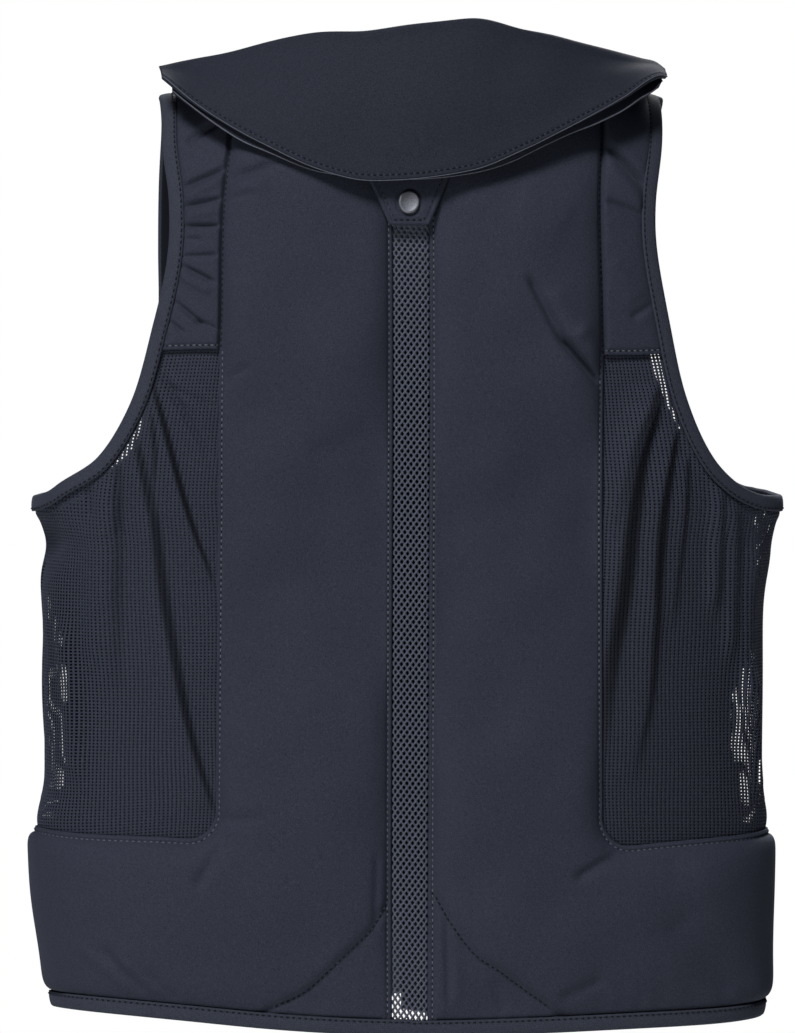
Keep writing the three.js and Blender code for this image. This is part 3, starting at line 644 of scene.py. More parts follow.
# Spine: a strip of knitted spacer mesh, thick strands round open holes in staggered rows. Both back panels
# are sewn over its edges, and it runs from under the collar down into the hem tape.
HOLE_PITCH, HOLE_ROW = 3.42, 2.46
HOLE_WIDE, HOLE_HIGH = 0.8, 1.28
ROW_TILT = -0.06
SPINE_TOP, SPINE_CELLS = -20.0, 4
SPINE_UP, SPINE_DIVE, SPINE_FLAT, SPINE_BEND = 0.5, 2.6, 8.8, 3.0
STRAND_UP, STRAND_DEEP = 0.7, 1.5
SAME_PLACE = 50.0  # places to a millimetre; points in one place are one


def spine_lift(x):
    """Height of the strip: flat in the middle and down under the panels' edges in a smooth cubic step."""
    t = np.clip((np.abs(x) - SPINE_FLAT) / SPINE_BEND, 0, 1)
    return SPINE_UP - SPINE_DIVE * t * t * (3 - 2 * t)


cell_row = np.arange(int((SPINE_TOP - HEM_Z - TUCK) / HOLE_ROW))[:, None]
cell_x = (np.arange(-SPINE_CELLS, SPINE_CELLS + 1) - 0.5 * (cell_row % 2)) * HOLE_PITCH
cell_z = SPINE_TOP - cell_row * HOLE_ROW + ROW_TILT * cell_x
tall = (HOLE_PITCH**2 / 4 + HOLE_ROW**2) / (2 * HOLE_ROW)
short = HOLE_ROW - tall
knots = np.array([
    (0, tall), (-HOLE_PITCH / 2, short), (-HOLE_PITCH / 2, -short),
    (0, -tall), (HOLE_PITCH / 2, -short), (HOLE_PITCH / 2, short),
])
knots = np.stack([knots, (knots + np.roll(knots, -1, axis=0)) / 2], 1).reshape(12, 2)
way = np.arctan2(knots[:, 1], knots[:, 0])
hole = np.stack([HOLE_WIDE * np.cos(way), HOLE_HIGH * np.sin(way)], -1)
spot = np.stack([cell_x, cell_z], -1).reshape(-1, 1, 2)
flat = np.concatenate([spot + knots, spot + hole], 1)
flat[..., 1] += ROW_TILT * (flat[..., 0] - spot[..., 0])
high = spine_lift(flat[..., 0]) + np.repeat([STRAND_UP, 0], 12)
flat, high = flat.reshape(-1, 2), high.ravel()
places = (flat * SAME_PLACE).round().astype(int)
_, kept, numbers = np.unique(places, axis=0, return_index=True, return_inverse=True)
numbers = numbers.reshape(-1, 24)
rim_ring, hole_ring = [np.hstack([ring, ring[:, :1]]) for ring in (numbers[:, :12], numbers[:, 12:])]
corners = [rim_ring[:, :-1], rim_ring[:, 1:], hole_ring[:, 1:], hole_ring[:, :-1]]
strands = np.stack(corners, -1).reshape(-1, 4)
spine = put_mesh(
    "spine_mesh_knit",
    lay(girth_at(flat[kept, 0], flat[kept, 1]), flat[kept, 1], high[kept]),
    [strands],
    flat[kept],
)
deep = spine.modifiers.new("strand depth", "SOLIDIFY")
deep.thickness = STRAND_DEEP * MM
deep.offset = -1
knit = cloth_paint("spacer knit", (0.059, 0.0665, 0.094), (0.1125, 0.125, 0.163), 0.4, 0.3, 0.1)
settle(spine, knit, "spacer_mesh", "spine_mesh")

# Shoulder panels: one plain layer with a thin foam lining between the back panel's seam and the armhole,
# topstitched along its foot over the net. It puckers where the binding pulls on it.
SHOULDER_HIGH, SHOULDER_SOFT, SHOULDER_LEAST = 2.0, 3.0, 0.4
SHOULDER_DIP, SHOULDER_ROLL, SHOULDER_REACH = 0.8, 1.2, 4.0
SHOULDER_FOLDS = {  # x, z of both ends, half width, height
    1: [
        (106, -28, 140, -60, 2.8, -4.2), (106, -38, 134, -68, 5.0, 2.4), (108, -60, 142, -74, 1.8, -2.4),
        (112, -95, 128, -120, 7.0, 1.4), (124, -128, 142, -118, 2.4, -1.6),
    ],
    -1: [
        (132, -29, 112, -15, 2.4, -3.2), (134, -55, 103, -41, 1.8, -3.6), (131, -61, 108, -49, 2.6, 1.8),
        (135, -66, 105, -59, 1.5, -3.2), (133, -71, 109, -67, 2.4, 1.4), (135, -76, 107, -75, 1.4, -3.2),
        (135, -83, 120, -83, 1.4, -1.8), (133, -93, 110, -92, 1.6, -2.2),
        (136, -96, 112, -108, 1.6, -2.8), (134, -103, 115, -114, 2.4, 1.8),
        (142, -114, 120, -134, 1.7, -2.8), (125, -130, 107, -138, 1.8, -2.0),
        (146, -125, 131, -139, 1.5, -2.4),
    ],
}
ARMHOLE = np.array([  # z, x on the right back, the left back, the right front and the left front
    (-2, 146, 146, 146, 146), (-30, 143.5, 145, 143, 143.5), (-62, 140.5, 139.2, 139, 140.5),
    (-92, 141.5, 140, 140, 139.5), (-132, 149, 149.5, 145, 139.5), (-175, 160, 160.5, 159, 145.5),
    (-209, 177, 179.5, 177.5, 156.5), (-227, 201, 202, 200, 188.5), (-231, 209, 209, 209, 208),
    (-232, 213, 213, 213, 213),
], float)
UNDERARM_X, STRAP_TIP_Z = 212.9, -3.0
HIDDEN_IN, SEWN_CLEAR = TAPE_WIDE - TUCK, TAPE_WIDE - 1
EDGE_STEP = 0.02


def armhole_edge(way, inset, front=False, side=1):
    """Points x, z along the armhole from the strap's tip (0) to the underarm (1), inset square to it."""
    row = np.arange(len(ARMHOLE))
    table = ARMHOLE[:, [1 + (side < 0) + 2 * front, 0]]
    at = way * row[-1]
    lean = unit(through_rows(row, table, at + EDGE_STEP) - through_rows(row, table, at - EDGE_STEP))
    edge = through_rows(row, table, at) + inset * np.stack([lean[..., 1], -lean[..., 0]], -1)
    return np.minimum(edge, (UNDERARM_X, np.inf))


def armhole_girth(z, inset, front=False, side=1):
    """Girth of the armhole's inset edge at a height."""
    edge = armhole_edge(np.linspace(0, 1, 600), inset, front, side)
    order = np.argsort(edge[:, 1])
    return girth_at(np.interp(z, edge[order, 1], edge[order, 0]), z, front)


def shoulder_height(girth, z, side):
    """Height of a shoulder panel: low in the seam's slot, a rolled rim at its foot, low under the binding,
    and the puckers between."""
    seam, foot = girth - seam_girth(z), z - NET_TOP_Z
    tape = armhole_girth(z, SEWN_CLEAR, False, side) - girth
    slot = 1 - SLOT_DEEP * bell(np.maximum(seam, 0), SLOT_WIDE)
    swell = 1 - fading(np.minimum.reduce([seam, tape, foot]), SHOULDER_SOFT)
    dip = SHOULDER_DIP * bell(foot - STITCH_IN, DIP_WIDE)
    rolled = RIM_HIGH + SHOULDER_HIGH * swell - dip + SHOULDER_ROLL * fading(seam, SHOULDER_REACH)
    puckers = folds(x_at(girth, z), z, SHOULDER_FOLDS[side]) * swell
    return np.maximum(rolled * slot + puckers, SHOULDER_LEAST)


down = np.linspace(0, 1, 201)[:, None]
across = crowded(49, 6, 0.5, 40)
rough = STRAP_Z + down * (NET_TOP_Z - STRAP_Z)
for side, name in NAMES.items():
    tape_girth = armhole_girth(np.minimum(rough, STRAP_TIP_Z), HIDDEN_IN, False, side)
    girth = seam_girth(rough) + (tape_girth - seam_girth(rough)) * across
    top = shoulder_line(x_at(girth, rough))
    z = top + down * (NET_TOP_Z - top)
    high = shoulder_height(girth, z, side)
    padded_slab(f"shoulder_{name}", girth, z, high, side, f"shoulder_panel_{name}")
    tape_girth = armhole_girth(NET_TOP_Z, SEWN_CLEAR, False, side)
    foot_girth = np.linspace(seam_girth(NET_TOP_Z) + SLOT_SEWN_IN, tape_girth, 60)
    foot_z = np.full(60, NET_TOP_Z + STITCH_IN)
    foot_line = line_on(shoulder_height, foot_girth, foot_z, side)
    sew(f"shoulder_stitches_{name}", [foot_line], pale_stitching_and_highlight, hole_shade)

# Side nets: warp-knitted net with upright ribs and open holes, one slack layer from the back panel round the
# side to the front, sewn under the panels and into the binding. It hangs in steep folds, with painted shade
# in dark slanting bands beside their ridges and over the right net's lower part, and its holes are stretched
# open at the sides, where light comes through.
RIB_PITCH, COURSE = 2.5, 1.9
RIB_WIDE, BAR_HIGH = 1.5, 0.95
NET_THICK, NET_UNDER, NET_SUNK = 0.42, 3.5, 0.7
SEAM_SLACK, ARM_SLACK, ARM_HELD, ARM_LIFT = 10.0, 5.0, 4.0, 1.9
RIDGE_WIDE, RIDGE_STEEP = 12.0, 1.4
SIDE_GIRTH, FOLDS_END = 228.0, 245.0
WIDEST_BACK_Z, WIDEST_FRONT_Z = -300.0, -370.0
FRONT_WAVE, RIB_STRAY, SIDE_STRAY = 1.4, 0.5, 0.8
NET_BANDS = {  # z, x, half width of the band of painted shade, height of the ridge along it, its darkness
    1: [
        [
            (-395, 114, 3.0, 0, 0), (-360, 114.5, 3.6, 3, 0.6), (-325, 117.5, 4.6, 6, 0.9),
            (-287, 123.5, 5.2, 8, 1), (-233, 129.5, 4.6, 8, 1), (-208, 133.5, 3.5, 7, 1),
            (-184, 140.5, 2.2, 5, 0.9), (-174, 144, 1.6, 2, 0),
        ],
        [
            (-400, 130.5, 3.0, 0, 0), (-383, 133, 3.0, 2, 0.3), (-347, 140, 2.8, 4, 0.6),
            (-302, 142.5, 2.8, 6, 0.8), (-278, 143, 3.2, 7, 1), (-248, 145, 3.6, 7, 1),
            (-227, 147.5, 3.0, 6, 1), (-201, 152.5, 2.0, 4, 0.9), (-190, 155.5, 1.4, 2, 0),
        ],
        [
            (-260, 119, 5.0, 0, 0), (-233, 123, 4.0, 2, 0.3), (-202, 130, 3.5, 3, 0.45),
            (-172, 141, 2.5, 3, 0.5), (-164, 143, 2.0, 0, 0),
        ],
        [
            (-310, 153, 2.0, 0, 0), (-293, 154.3, 2.0, 2, 0.3), (-238, 160, 1.8, 3, 0.5),
            (-214, 161, 1.5, 2, 0.5), (-206, 162, 1.2, 0, 0),
        ],
        [
            (-440, 150, 50, 0, 0.28), (-330, 152, 45, 0, 0.22), (-250, 160, 35, 0, 0.12),
            (-215, 165, 30, 0, 0),
        ],
    ],
    -1: [
        [
            (-285, 113, 1.2, 0, 0), (-273, 116, 1.3, 3, 0.6), (-253, 123.5, 1.4, 5, 0.9),
            (-231, 130.5, 1.5, 6, 1), (-188, 142.1, 1.5, 5, 0.9), (-172, 147.3, 1.4, 4, 0.7),
            (-165, 149, 1.0, 0, 0),
        ],
        [
            (-420, 112, 1.6, 0, 0), (-409, 114.8, 1.8, 3, 0.5), (-380, 123, 2.0, 5, 0.7),
            (-351, 129.9, 2.4, 6, 0.7), (-326, 134.6, 2.6, 6, 0.65), (-286, 141.5, 2.8, 6, 0.65),
            (-237, 147.9, 2.6, 6, 0.6), (-198, 156.6, 2.2, 4, 0.5), (-188, 159, 2.0, 0, 0),
        ],
        [
            (-235, 150, 1.5, 0, 0), (-208, 146.2, 1.5, 3, 0.5), (-188, 147.9, 1.4, 3, 0.6),
            (-178, 149, 1.2, 0, 0),
        ],
        [
            (-350, 168.5, 4.0, 0, 0), (-318, 168.2, 3.5, 2, 0.2), (-262, 166.5, 3.0, 3, 0.3),
            (-214, 167, 2.5, 2, 0.35), (-206, 167, 2.0, 0, 0),
        ],
    ],
}
NET_FOLDS = {  # x, z of both ends, half width, height
    1: [
        (180, -215, 176, -300, 4, 4.0), (188, -225, 186, -330, 4, 3.5), (199, -250, 194, -380, 5, 4.0),
        (197, -330, 203, -410, 4, 4.5),
    ],
    -1: [
        (147, -157, 113, -212, 2.0, -2.6), (140, -168, 112, -180, 1.8, -1.8),
        (142, -160, 112, -192, 3.5, 1.8), (168, -214, 166.5, -256, 2.2, -3.2),
        (155.5, -200, 148, -243, 2.0, -2.6), (184, -226, 183.5, -244, 2.2, -2.4),
        (176, -220, 174, -300, 4.5, 2.4), (182, -240, 180, -330, 6, 3.0), (198, -300, 190, -400, 5, 4.0),
    ],
}
STRETCHED = {1: (224, -368, 28, 56), -1: (226, -340, 30, 72)}  # girth, z, reach round the body, reach down
RIB_YIELD, BAR_YIELD = 0.85, 0.42
UNDERARM = {  # girth, z, reach round the body, reach down, height
    1: [(228, -238, 26, 14, 5.0), (228, -262, 26, 24, 5.0)],
    -1: [(228, -260, 26, 14, -7.0)],
}


def flare(girth, z, side):
    """How far the net and binding stand out under the arm: a mound for each of that side's rows."""
    return sum(high * mound(girth, z, *spot) for *spot, high in UNDERARM[side])


def armhole_way(girth, z, side):
    """Distance on the flat cloth from the armhole's raw edge: the least to any of many points along it."""
    way = np.linspace(0, 1, 161)
    least = np.full(np.shape(girth), np.inf)
    for front in (False, True):
        edge = armhole_edge(way, 0, front, side)
        for edge_girth, edge_z in zip(girth_at(edge[:, 0], edge[:, 1], front), edge[:, 1]):
            least = np.minimum(least, np.hypot(girth - edge_girth, z - edge_z))
    return least


def painted_shade_bands(x, z, side):
    """Height of the net's fold ridges and darkness of the painted shade beside them: each band follows its
    rows down the net, and its ridge stands along its left edge, gentle to the left and steep across the band."""
    lift, dark = np.zeros(x.shape), np.zeros(x.shape)
    for rows in NET_BANDS[side]:
        table = np.array(rows, float)
        middle, half, high, shade = np.moveaxis(through_rows(table[:, 0], table[:, 1:], z), -1, 0)
        across = (x - middle) * side
        from_ridge = across + half
        lift += high * bell(from_ridge, np.where(from_ridge < 0, RIDGE_WIDE, RIDGE_STEEP * half))
        dark = np.maximum(dark, shade * np.exp(-((across / half) ** 4)))
    return lift, dark


def net_lift(girth, z, side):
    """Height of the net, under the panels at its seams, inside the binding at the armhole and folded between,
    and how dark the painted shade of its fold bands is."""
    x = x_at(girth, z)
    sewn = np.minimum.reduce([-notch_way(girth, z), NET_TOP_Z - z, front_seam_girth(z, side) - girth])
    arm = np.maximum(armhole_way(girth, z, side) - TAPE_WIDE, 0)
    lift, dark = painted_shade_bands(x, z, side)
    behind = girth < FOLDS_END
    round_front = FRONT_WAVE * np.sin(girth / 6 + z / 19) * np.sin(z / 27 + side)
    loose = 1 + np.where(behind, lift + folds(x, z, NET_FOLDS[side]), round_front)
    hanging = (1 - fading(arm, ARM_SLACK)) * loose + ARM_LIFT * bell(arm, ARM_HELD)
    return (1 - fading(sewn, SEAM_SLACK)) * hanging - NET_SUNK + flare(girth, z, side), dark * behind


def darken(paint, mark, dark):
    """Turns a paint's colour towards a dark one as far as the mesh's mark says: painted shade."""
    nodes, links = paint.node_tree.nodes, paint.node_tree.links
    colour = nodes["Principled BSDF"].inputs["Base Color"]
    marked = nodes.new("ShaderNodeAttribute")
    marked.attribute_name = mark
    mixed = nodes.new("ShaderNodeMix")
    mixed.data_type = "RGBA"
    mixed.inputs[7].default_value = (*dark, 1)
    links.new(marked.outputs["Fac"], mixed.inputs[0])
    links.new(colour.links[0].from_socket, mixed.inputs[6])
    links.new(mixed.outputs[2], colour)


first = seam_girth(WIDEST_BACK_Z) - NET_UNDER
last = front_seam_girth(WIDEST_FRONT_Z, -1) + NET_UNDER
ribs = int((last - first) / RIB_PITCH)
courses = int((NET_TOP_Z + NET_UNDER - BAND_TOP[0, 1] + NET_UNDER) / COURSE)
line_girth = (first + np.arange(ribs + 1)[:, None] * RIB_PITCH + [0, RIB_WIDE]).ravel()
line_z = (NET_TOP_Z + NET_UNDER - np.arange(courses + 1)[:, None] * COURSE - [0, BAR_HIGH]).ravel()
net_girth, net_z = [line.ravel() for line in np.meshgrid(line_girth, line_z)]
threads = quads(np.arange(len(net_girth)).reshape(len(line_z), len(line_girth)))
mid_girth, mid_z = net_girth[threads].mean(1), net_z[threads].mean(1)
in_hole = (np.arange(len(line_z) - 1)[:, None] % 2 == 1) & (np.arange(len(line_girth) - 1) % 2 == 1)
netting = cloth_paint("warp net", (0.0162, 0.0194, 0.0325), (0.039, 0.0448, 0.065), 0.4, 0.2, 0.05)
# The net's paint turns near-black as far as its mark says: painted shade in the fold bands.
darken(netting, "painted_shade_bands", (0.0035, 0.0045, 0.0085))
for side, name in NAMES.items():
    under = notch_way(mid_girth, mid_z) < NET_UNDER
    under &= mid_girth < front_seam_girth(mid_z, side) + NET_UNDER
    behind = mid_girth > armhole_girth(mid_z, HIDDEN_IN, False, side)
    ahead = mid_girth < armhole_girth(mid_z, HIDDEN_IN, True, side)
    open_arm = behind & ahead & (mid_z > ARMHOLE[-1, 0] - HIDDEN_IN)
    kept, numbers = np.unique(threads[under & ~open_arm & ~in_hole.ravel()], return_inverse=True)
    numbers = numbers.reshape(-1, 4)[:, ::side]
    girth, z = net_girth[kept], net_z[kept]
    pull = mound(girth, z, *STRETCHED[side])
    row, column = np.divmod(kept, len(line_girth))
    girth = girth - RIB_YIELD * pull * (column % 2)
    z = z + BAR_YIELD * pull * (row % 2)
    stray = RIB_STRAY * np.sin(z / 16 + girth / 23)
    girth = girth + stray + SIDE_STRAY * np.sin(z / 6 - girth / 17) * (girth > SIDE_GIRTH)
    lift, dark = net_lift(girth, z, side)
    weave = np.stack([net_girth[kept], z], -1)
    net = put_mesh(f"net_{name}", lay(girth, z, lift, side), [numbers], weave)
    # The mark holds how dark each point is painted: the painted shade of the fold bands.
    net.data.attributes.new("painted_shade_bands", "FLOAT", "POINT").data.foreach_set("value", dark.astype(np.float32))
    stout = net.modifiers.new("yarn", "SOLIDIFY")
    stout.thickness = NET_THICK * MM
    stout.offset = 0
    settle(net, netting, "net_fabric", f"side_net_{name}")

# Front panels: plain padded fronts from the side seam to the zip, turned in and topstitched at the zip and
# the neckline, their lower corners cut away at the zip. The photo does not show them; only the light behind
# the spine's foot tells of the cut.
ZIP_EDGE = 4.6
FRONT_HIGH = 2.6
NECK_FRONT_DROP, NECK_SLOPE = 92.0, 0.6
FRONT_CUT, UNDERARM_LAP = 20.0, 8.0
FRONT_RISE = {1: 5.0, -1: 14.0}
FRONT_SEWN_FROM, SIDE_SEWN_FROM = -76.0, -236.0


def front_outer_girth(z, side):
    """Girth of a front panel's outer edge: the armhole's hidden edge, and below it the front side seam."""
    armhole = armhole_girth(np.minimum(z, STRAP_TIP_Z), HIDDEN_IN, True, side)
    seam = front_seam_girth(z, side)
    return np.where(z > ARMHOLE[-1, 0] - UNDERARM_LAP, np.maximum(armhole, seam), seam)


def front_hem(x, side):
    """Height of a front's lower edge: the hem, cut away towards the zip by a bell."""
    return hem(x) + FRONT_RISE[side] * bell(x, FRONT_CUT)


def front_height(girth, z, side):
    """Height of a front panel: a topstitched rim at the zip and the neckline and a soft rise between."""
    x = x_at(girth, z)
    ways = [
        girth_at(ZIP_EDGE, z, True) - girth,
        (neckline(x, NECK_FRONT_DROP) - z) * NECK_SLOPE,
        z - front_hem(x, side) - TAPE_WIDE + STITCH_IN,
        girth - front_outer_girth(z, side),
    ]
    return np.maximum(rim(np.minimum.reduce(ways), FRONT_HIGH), LEAST_HIGH)


down = np.linspace(0, 1, 141)[:, None]
across = crowded(65, 7, 0.6, 150)
rough = STRAP_Z + down * (HEM_Z + TUCK - STRAP_Z)
for side, name in NAMES.items():
    outer_girth = front_outer_girth(rough, side)
    girth = outer_girth + (girth_at(ZIP_EDGE, rough, True) - outer_girth) * across
    x = x_at(girth, rough)
    top = neckline(x, NECK_FRONT_DROP)
    z = top + down * (front_hem(x, side) + TUCK - top)
    high = front_height(girth, z, side)
    padded_slab(f"padded_front_{name}", girth, z, high, side, f"front_panel_{name}")
    zip_z = np.linspace(FRONT_SEWN_FROM, front_hem(ZIP_EDGE, side) + TAPE_WIDE, 300)
    zip_girth = girth_at(ZIP_EDGE, zip_z, True) - STITCH_IN
    seam_z = np.linspace(SIDE_SEWN_FROM, HEM_Z + TAPE_WIDE + SEAM_CLEAR, 200)
    side_girth = front_seam_girth(seam_z, side) + STITCH_IN
    sew(f"front_stitches_{name}", [
        line_on(front_height, zip_girth, zip_z, side),
        line_on(front_height, side_girth, seam_z, side),
    ])

# Zip: a nylon coil on a woven tape, closed, behind the turned edges of both fronts. The photo does not
# show it.
ZIP_TOP, ZIP_LAP, ZIP_SUNK, ZIP_DEEP = -74.0, 1.2, 0.4, 1.4
COIL_HALF, COIL_PITCH, COIL_HIGH, TOOTH_HIGH = 2.3, 1.6, 0.9, 0.6
HARD_SPREAD, HARD_BUMP, HARD_DEEP = 0.15, 0.25, 0.05
x = np.linspace(ZIP_EDGE + ZIP_LAP, -ZIP_EDGE - ZIP_LAP, 17)
z = np.linspace(ZIP_TOP, HEM_Z + FRONT_RISE[-1], 913)[:, None]
tooth = 0.5 + 0.5 * np.cos(2 * np.pi * (z / COIL_PITCH + (x > 0) / 2))
coil = np.sqrt(np.maximum(1 - (x / COIL_HALF) ** 2, 0)) * (COIL_HIGH + TOOTH_HIGH * tooth)
girth = girth_at(x, z, True)
z = z + 0 * x
outer, inner = lay(girth, z, coil - ZIP_SUNK), lay(girth, z, 0 * coil - ZIP_DEEP)
zip_strip = cloth_slab("zip_strip", outer, inner, np.stack([girth, z], -1))


def hard_paint(name, dark, light, roughness, flecks, metallic=0.0):
    """Hard paint between two shades in flecks, so many to the metre, which also stand up a little."""
    surface = {"Roughness": roughness, "Metallic": metallic}
    paint, _, fleck = flecked(name, dark, light, HARD_SPREAD, flecks, surface)
    return stand_up(paint, fleck, HARD_BUMP, HARD_DEEP)


zip_nylon = hard_paint("zip nylon", (0.009, 0.01, 0.014), (0.016, 0.017, 0.023), 0.45, 900)
settle(zip_strip, zip_nylon, "zip_plastic", "front_zip")

# Bindings: a ribbed tape folded over the raw edges of the armholes and the hem and sewn through along its
# inner edge. The armhole tapes are closed rings; the hem tape ends at the zip.
TAPE_TOP, TAPE_FOOT, TAPE_WALL, TAPE_CROWN = 3.5, -1.0, 0.85, 0.35
TAPE_SEWN, TAPE_SEWN_UP, WALL_SHORT, ZIP_CLEAR = 1.5, 0.2, 0.2, 0.4
FOOT_LEAF = slice(9, 14)


def folded_line(top, foot, edge):
    """Across and up of one face of a folded tape: a slightly crowned leaf, half a circle round the fold and a
    straight leaf back."""
    middle, reach = (top + foot) / 2, (top - foot) / 2
    straight = np.linspace(edge, (TAPE_TOP - TAPE_FOOT - TAPE_WIDE) / 2, 5)
    crown = TAPE_CROWN * np.sin(np.pi * np.linspace(0, 1, 5))
    bend = np.linspace(np.pi / 2, np.pi * 1.5, 7)[1:-1]
    return np.concatenate([
        np.stack([straight, top + crown], -1),
        np.stack([straight[-1] + reach * np.cos(bend), middle + reach * np.sin(bend)], -1),
        np.stack([straight[::-1], np.full(5, foot)], -1),
    ])


def sweep(path, up, profile, side=1, closed=False):
    """Points and faces of a profile swept along a path, and the ways across and up at each of its points: up
    is made square to the path's direction, and across is that direction times up. Open ends are capped."""
    along = np.roll(path, -1, axis=0) - np.roll(path, 1, axis=0) if closed else np.gradient(path, axis=0)
    along = unit(along)
    up = unit(up - along * (up * along).sum(1, keepdims=True))
    across = np.cross(along, up) * side
    points = path[:, None] + across[:, None] * profile[:, :1] + up[:, None] * profile[:, 1:]
    grid = np.arange(len(path) * len(profile)).reshape(len(path), -1)
    grid = np.hstack([grid, grid[:, :1]])
    if closed:
        faces = [quads(np.vstack([grid, grid[:1]]))]
    else:
        faces = [quads(grid), np.stack([grid[0, :-1], grid[-1, -2::-1]])]
    return points, [f[:, ::side] for f in faces], across, up


def bind(name, path, up, side, closed):
    """A folded tape swept along a path, its leaf on the inside marked for the black lining's paint, which
    there is painted shade, with stitches along its sewn edge."""
    profile = np.concatenate([
        folded_line(TAPE_TOP, TAPE_FOOT, TAPE_WIDE / 2),
        folded_line(TAPE_TOP - TAPE_WALL, TAPE_FOOT + TAPE_WALL, TAPE_WIDE / 2 - WALL_SHORT)[::-1],
    ])
    points, faces, across, up = sweep(path, up, profile, side, closed)
    weave = np.stack(np.broadcast_arrays(run_along(path)[:, None], run_along(profile)), -1)
    tape = put_mesh(name, points, faces, weave)
    inside = np.zeros(len(tape.data.polygons), np.int32)
    inside[: len(faces[0])].reshape(-1, len(profile))[:, FOOT_LEAF] = 1
    tape.data.polygons.foreach_set("material_index", inside)
    seam = path + across * (TAPE_WIDE / 2 - TAPE_SEWN) + up * (TAPE_TOP + TAPE_SEWN_UP)
    if closed:
        seam, up = np.vstack([seam, seam[:1]]), np.vstack([up, up[:1]])
    sew(f"{name}_stitches", [(seam, up)])
    return tape


ribbed = cloth_paint("ribbed tape", (0.02, 0.0235, 0.037), (0.044, 0.05, 0.069), 1.1, 0.5, 0.06)
way = np.linspace(0, 1, 161)
for side, name in NAMES.items():
    back_edge = armhole_edge(way, TAPE_WIDE / 2, False, side)
    front_edge = armhole_edge(way, TAPE_WIDE / 2, True, side)[::-1][1:-1]
    ring_girth = np.concatenate([
        girth_at(back_edge[:, 0], back_edge[:, 1]),
        girth_at(front_edge[:, 0], front_edge[:, 1], True),
    ])
    ring_z = np.concatenate([back_edge[:, 1], front_edge[:, 1]])
    ring_z = np.minimum(ring_z, shoulder_line(x_at(ring_girth, ring_z)))
    path, up = stitch_line(ring_girth, ring_z, flare(ring_girth, ring_z, side), side)
    tape = bind(f"armhole_tape_{name}", path, up, side, True)
    settle(tape, ribbed, "binding_tape", f"armhole_binding_{name}", inside=lining)
half_girth = np.linspace(0, girth_at(ZIP_EDGE + ZIP_CLEAR, HEM_Z, True), 261)
hem_girth = np.concatenate([half_girth[::-1], -half_girth[1:]])
hem_x = x_at(hem_girth, np.full(521, HEM_Z))
fronts_z = np.where(hem_x > 0, front_hem(hem_x, 1), front_hem(hem_x, -1))
hem_z = np.where(np.abs(hem_girth) > GIRTH[-1] / 2, fronts_z, hem(hem_x)) + TAPE_WIDE / 2
path, up = stitch_line(hem_girth, hem_z, np.zeros(521))
hem_tape = bind("hem_tape", path, up, 1, False)
settle(hem_tape, ribbed, "binding_tape", "hem_binding", inside=lining)

# Collar: a stiffened flap that stands up from the neckline, folds over a ridge and falls down the back,
# topstitched along its edge, with a second leaf of the same cloth under it. Both take a darker copy of the
# shell nylon, painted shade. The turned edges of both show as thin pale rolls, a painted highlight where they
# catch the light.
COLLAR_MID, COLLAR_HALF, COLLAR_THICK = 5.0, 146.5, 2.4
COLLAR_FOOT, BASE_UP = 0.92, 6.0
RIDGE_END_Y, RIDGE_OUT = -14.0, 54.0
EDGE_END_Y, EDGE_OUT, EDGE_ROUND = -34.0, 52.0, 0.6
FOLD_REACH, FOLD_SHARE = 7.0, 0.4
SWELL_AT, SWELL_BACK, SWELL_UP = 0.55, 4.0, 3.0
FLAP_RAW, FLAP_ROLL, FLAP_SEWN, FLAP_DIP = 0.35, 0.8, 3.2, 0.5
FLAP_SLACK, SLACK_CLEAR, STITCH_LOW = 0.6, 9.0, 0.45
COLLAR = np.array([  # x, height of the ridge, height of the flap's edge
    (-141.5, 16.5, 11), (-125, 20, -3.5), (-105, 24, -17), (-86, 28.5, -27.5), (-55, 36.2, -42),
    (-24, 36, -49), (34, 43.4, -43), (67, 36.6, -30), (83.5, 33, -22), (99.5, 29.2, -14),
    (125, 23.4, -0.5), (138, 20.6, 8), (146, 19, 11.5), (151.5, 15.5, 11),
], float)
LEAF = np.array([  # x, height of the leaf's edge
    (-138, 5), (-127, -4.5), (-113, -15.5), (-98, -25.5), (-86, -31), (-52, -44), (0, -48), (35, -44.5),
    (56, -38.5), (75, -29.5), (91.5, -22), (107, -16.2), (123.5, -8.4), (134.5, -1.2), (143.5, 3.8), (148, 9),
], float)
LEAF_IN, LEAF_THICK, LEAF_TOP_ROW, LEAF_SPAN = 2.2, 1.4, 66, slice(4, -2)
FLAP_ROLL_OUT, FLAP_ROLL_THICK, LEAF_ROLL_THICK = 0.7, 0.5, 0.8


def surface_ways(points):
    """Outward way at each point of a grid, the cross product of its row and column slopes."""
    return unit(np.cross(np.gradient(points, axis=0), np.gradient(points, axis=1)))


x = np.linspace(COLLAR_MID - COLLAR_HALF, COLLAR_MID + COLLAR_HALF, 201)
arch = np.maximum(0, 1 - ((x - COLLAR_MID) / COLLAR_HALF) ** 2)
foot_x = COLLAR_FOOT * x
neck = neckline(foot_x, NECK_BACK_DROP)
base = lay(girth_at(foot_x, neck), neck, np.full(201, BASE_UP))
ridge_z, edge_z = through_rows(COLLAR[:, 0], COLLAR[:, 1:], x).T
ridge = np.stack([x, RIDGE_END_Y - RIDGE_OUT * arch, ridge_z], -1)
edge = np.stack([x, EDGE_END_Y - EDGE_OUT * arch**EDGE_ROUND, edge_z], -1)


def near_ridge(end):
    """The point where the fold begins on the way from the ridge to an end, at most FOLD_REACH off."""
    leg = end - ridge
    length = np.linalg.norm(leg, axis=-1, keepdims=True)
    return ridge + leg / length * np.minimum(FOLD_REACH, FOLD_SHARE * length)


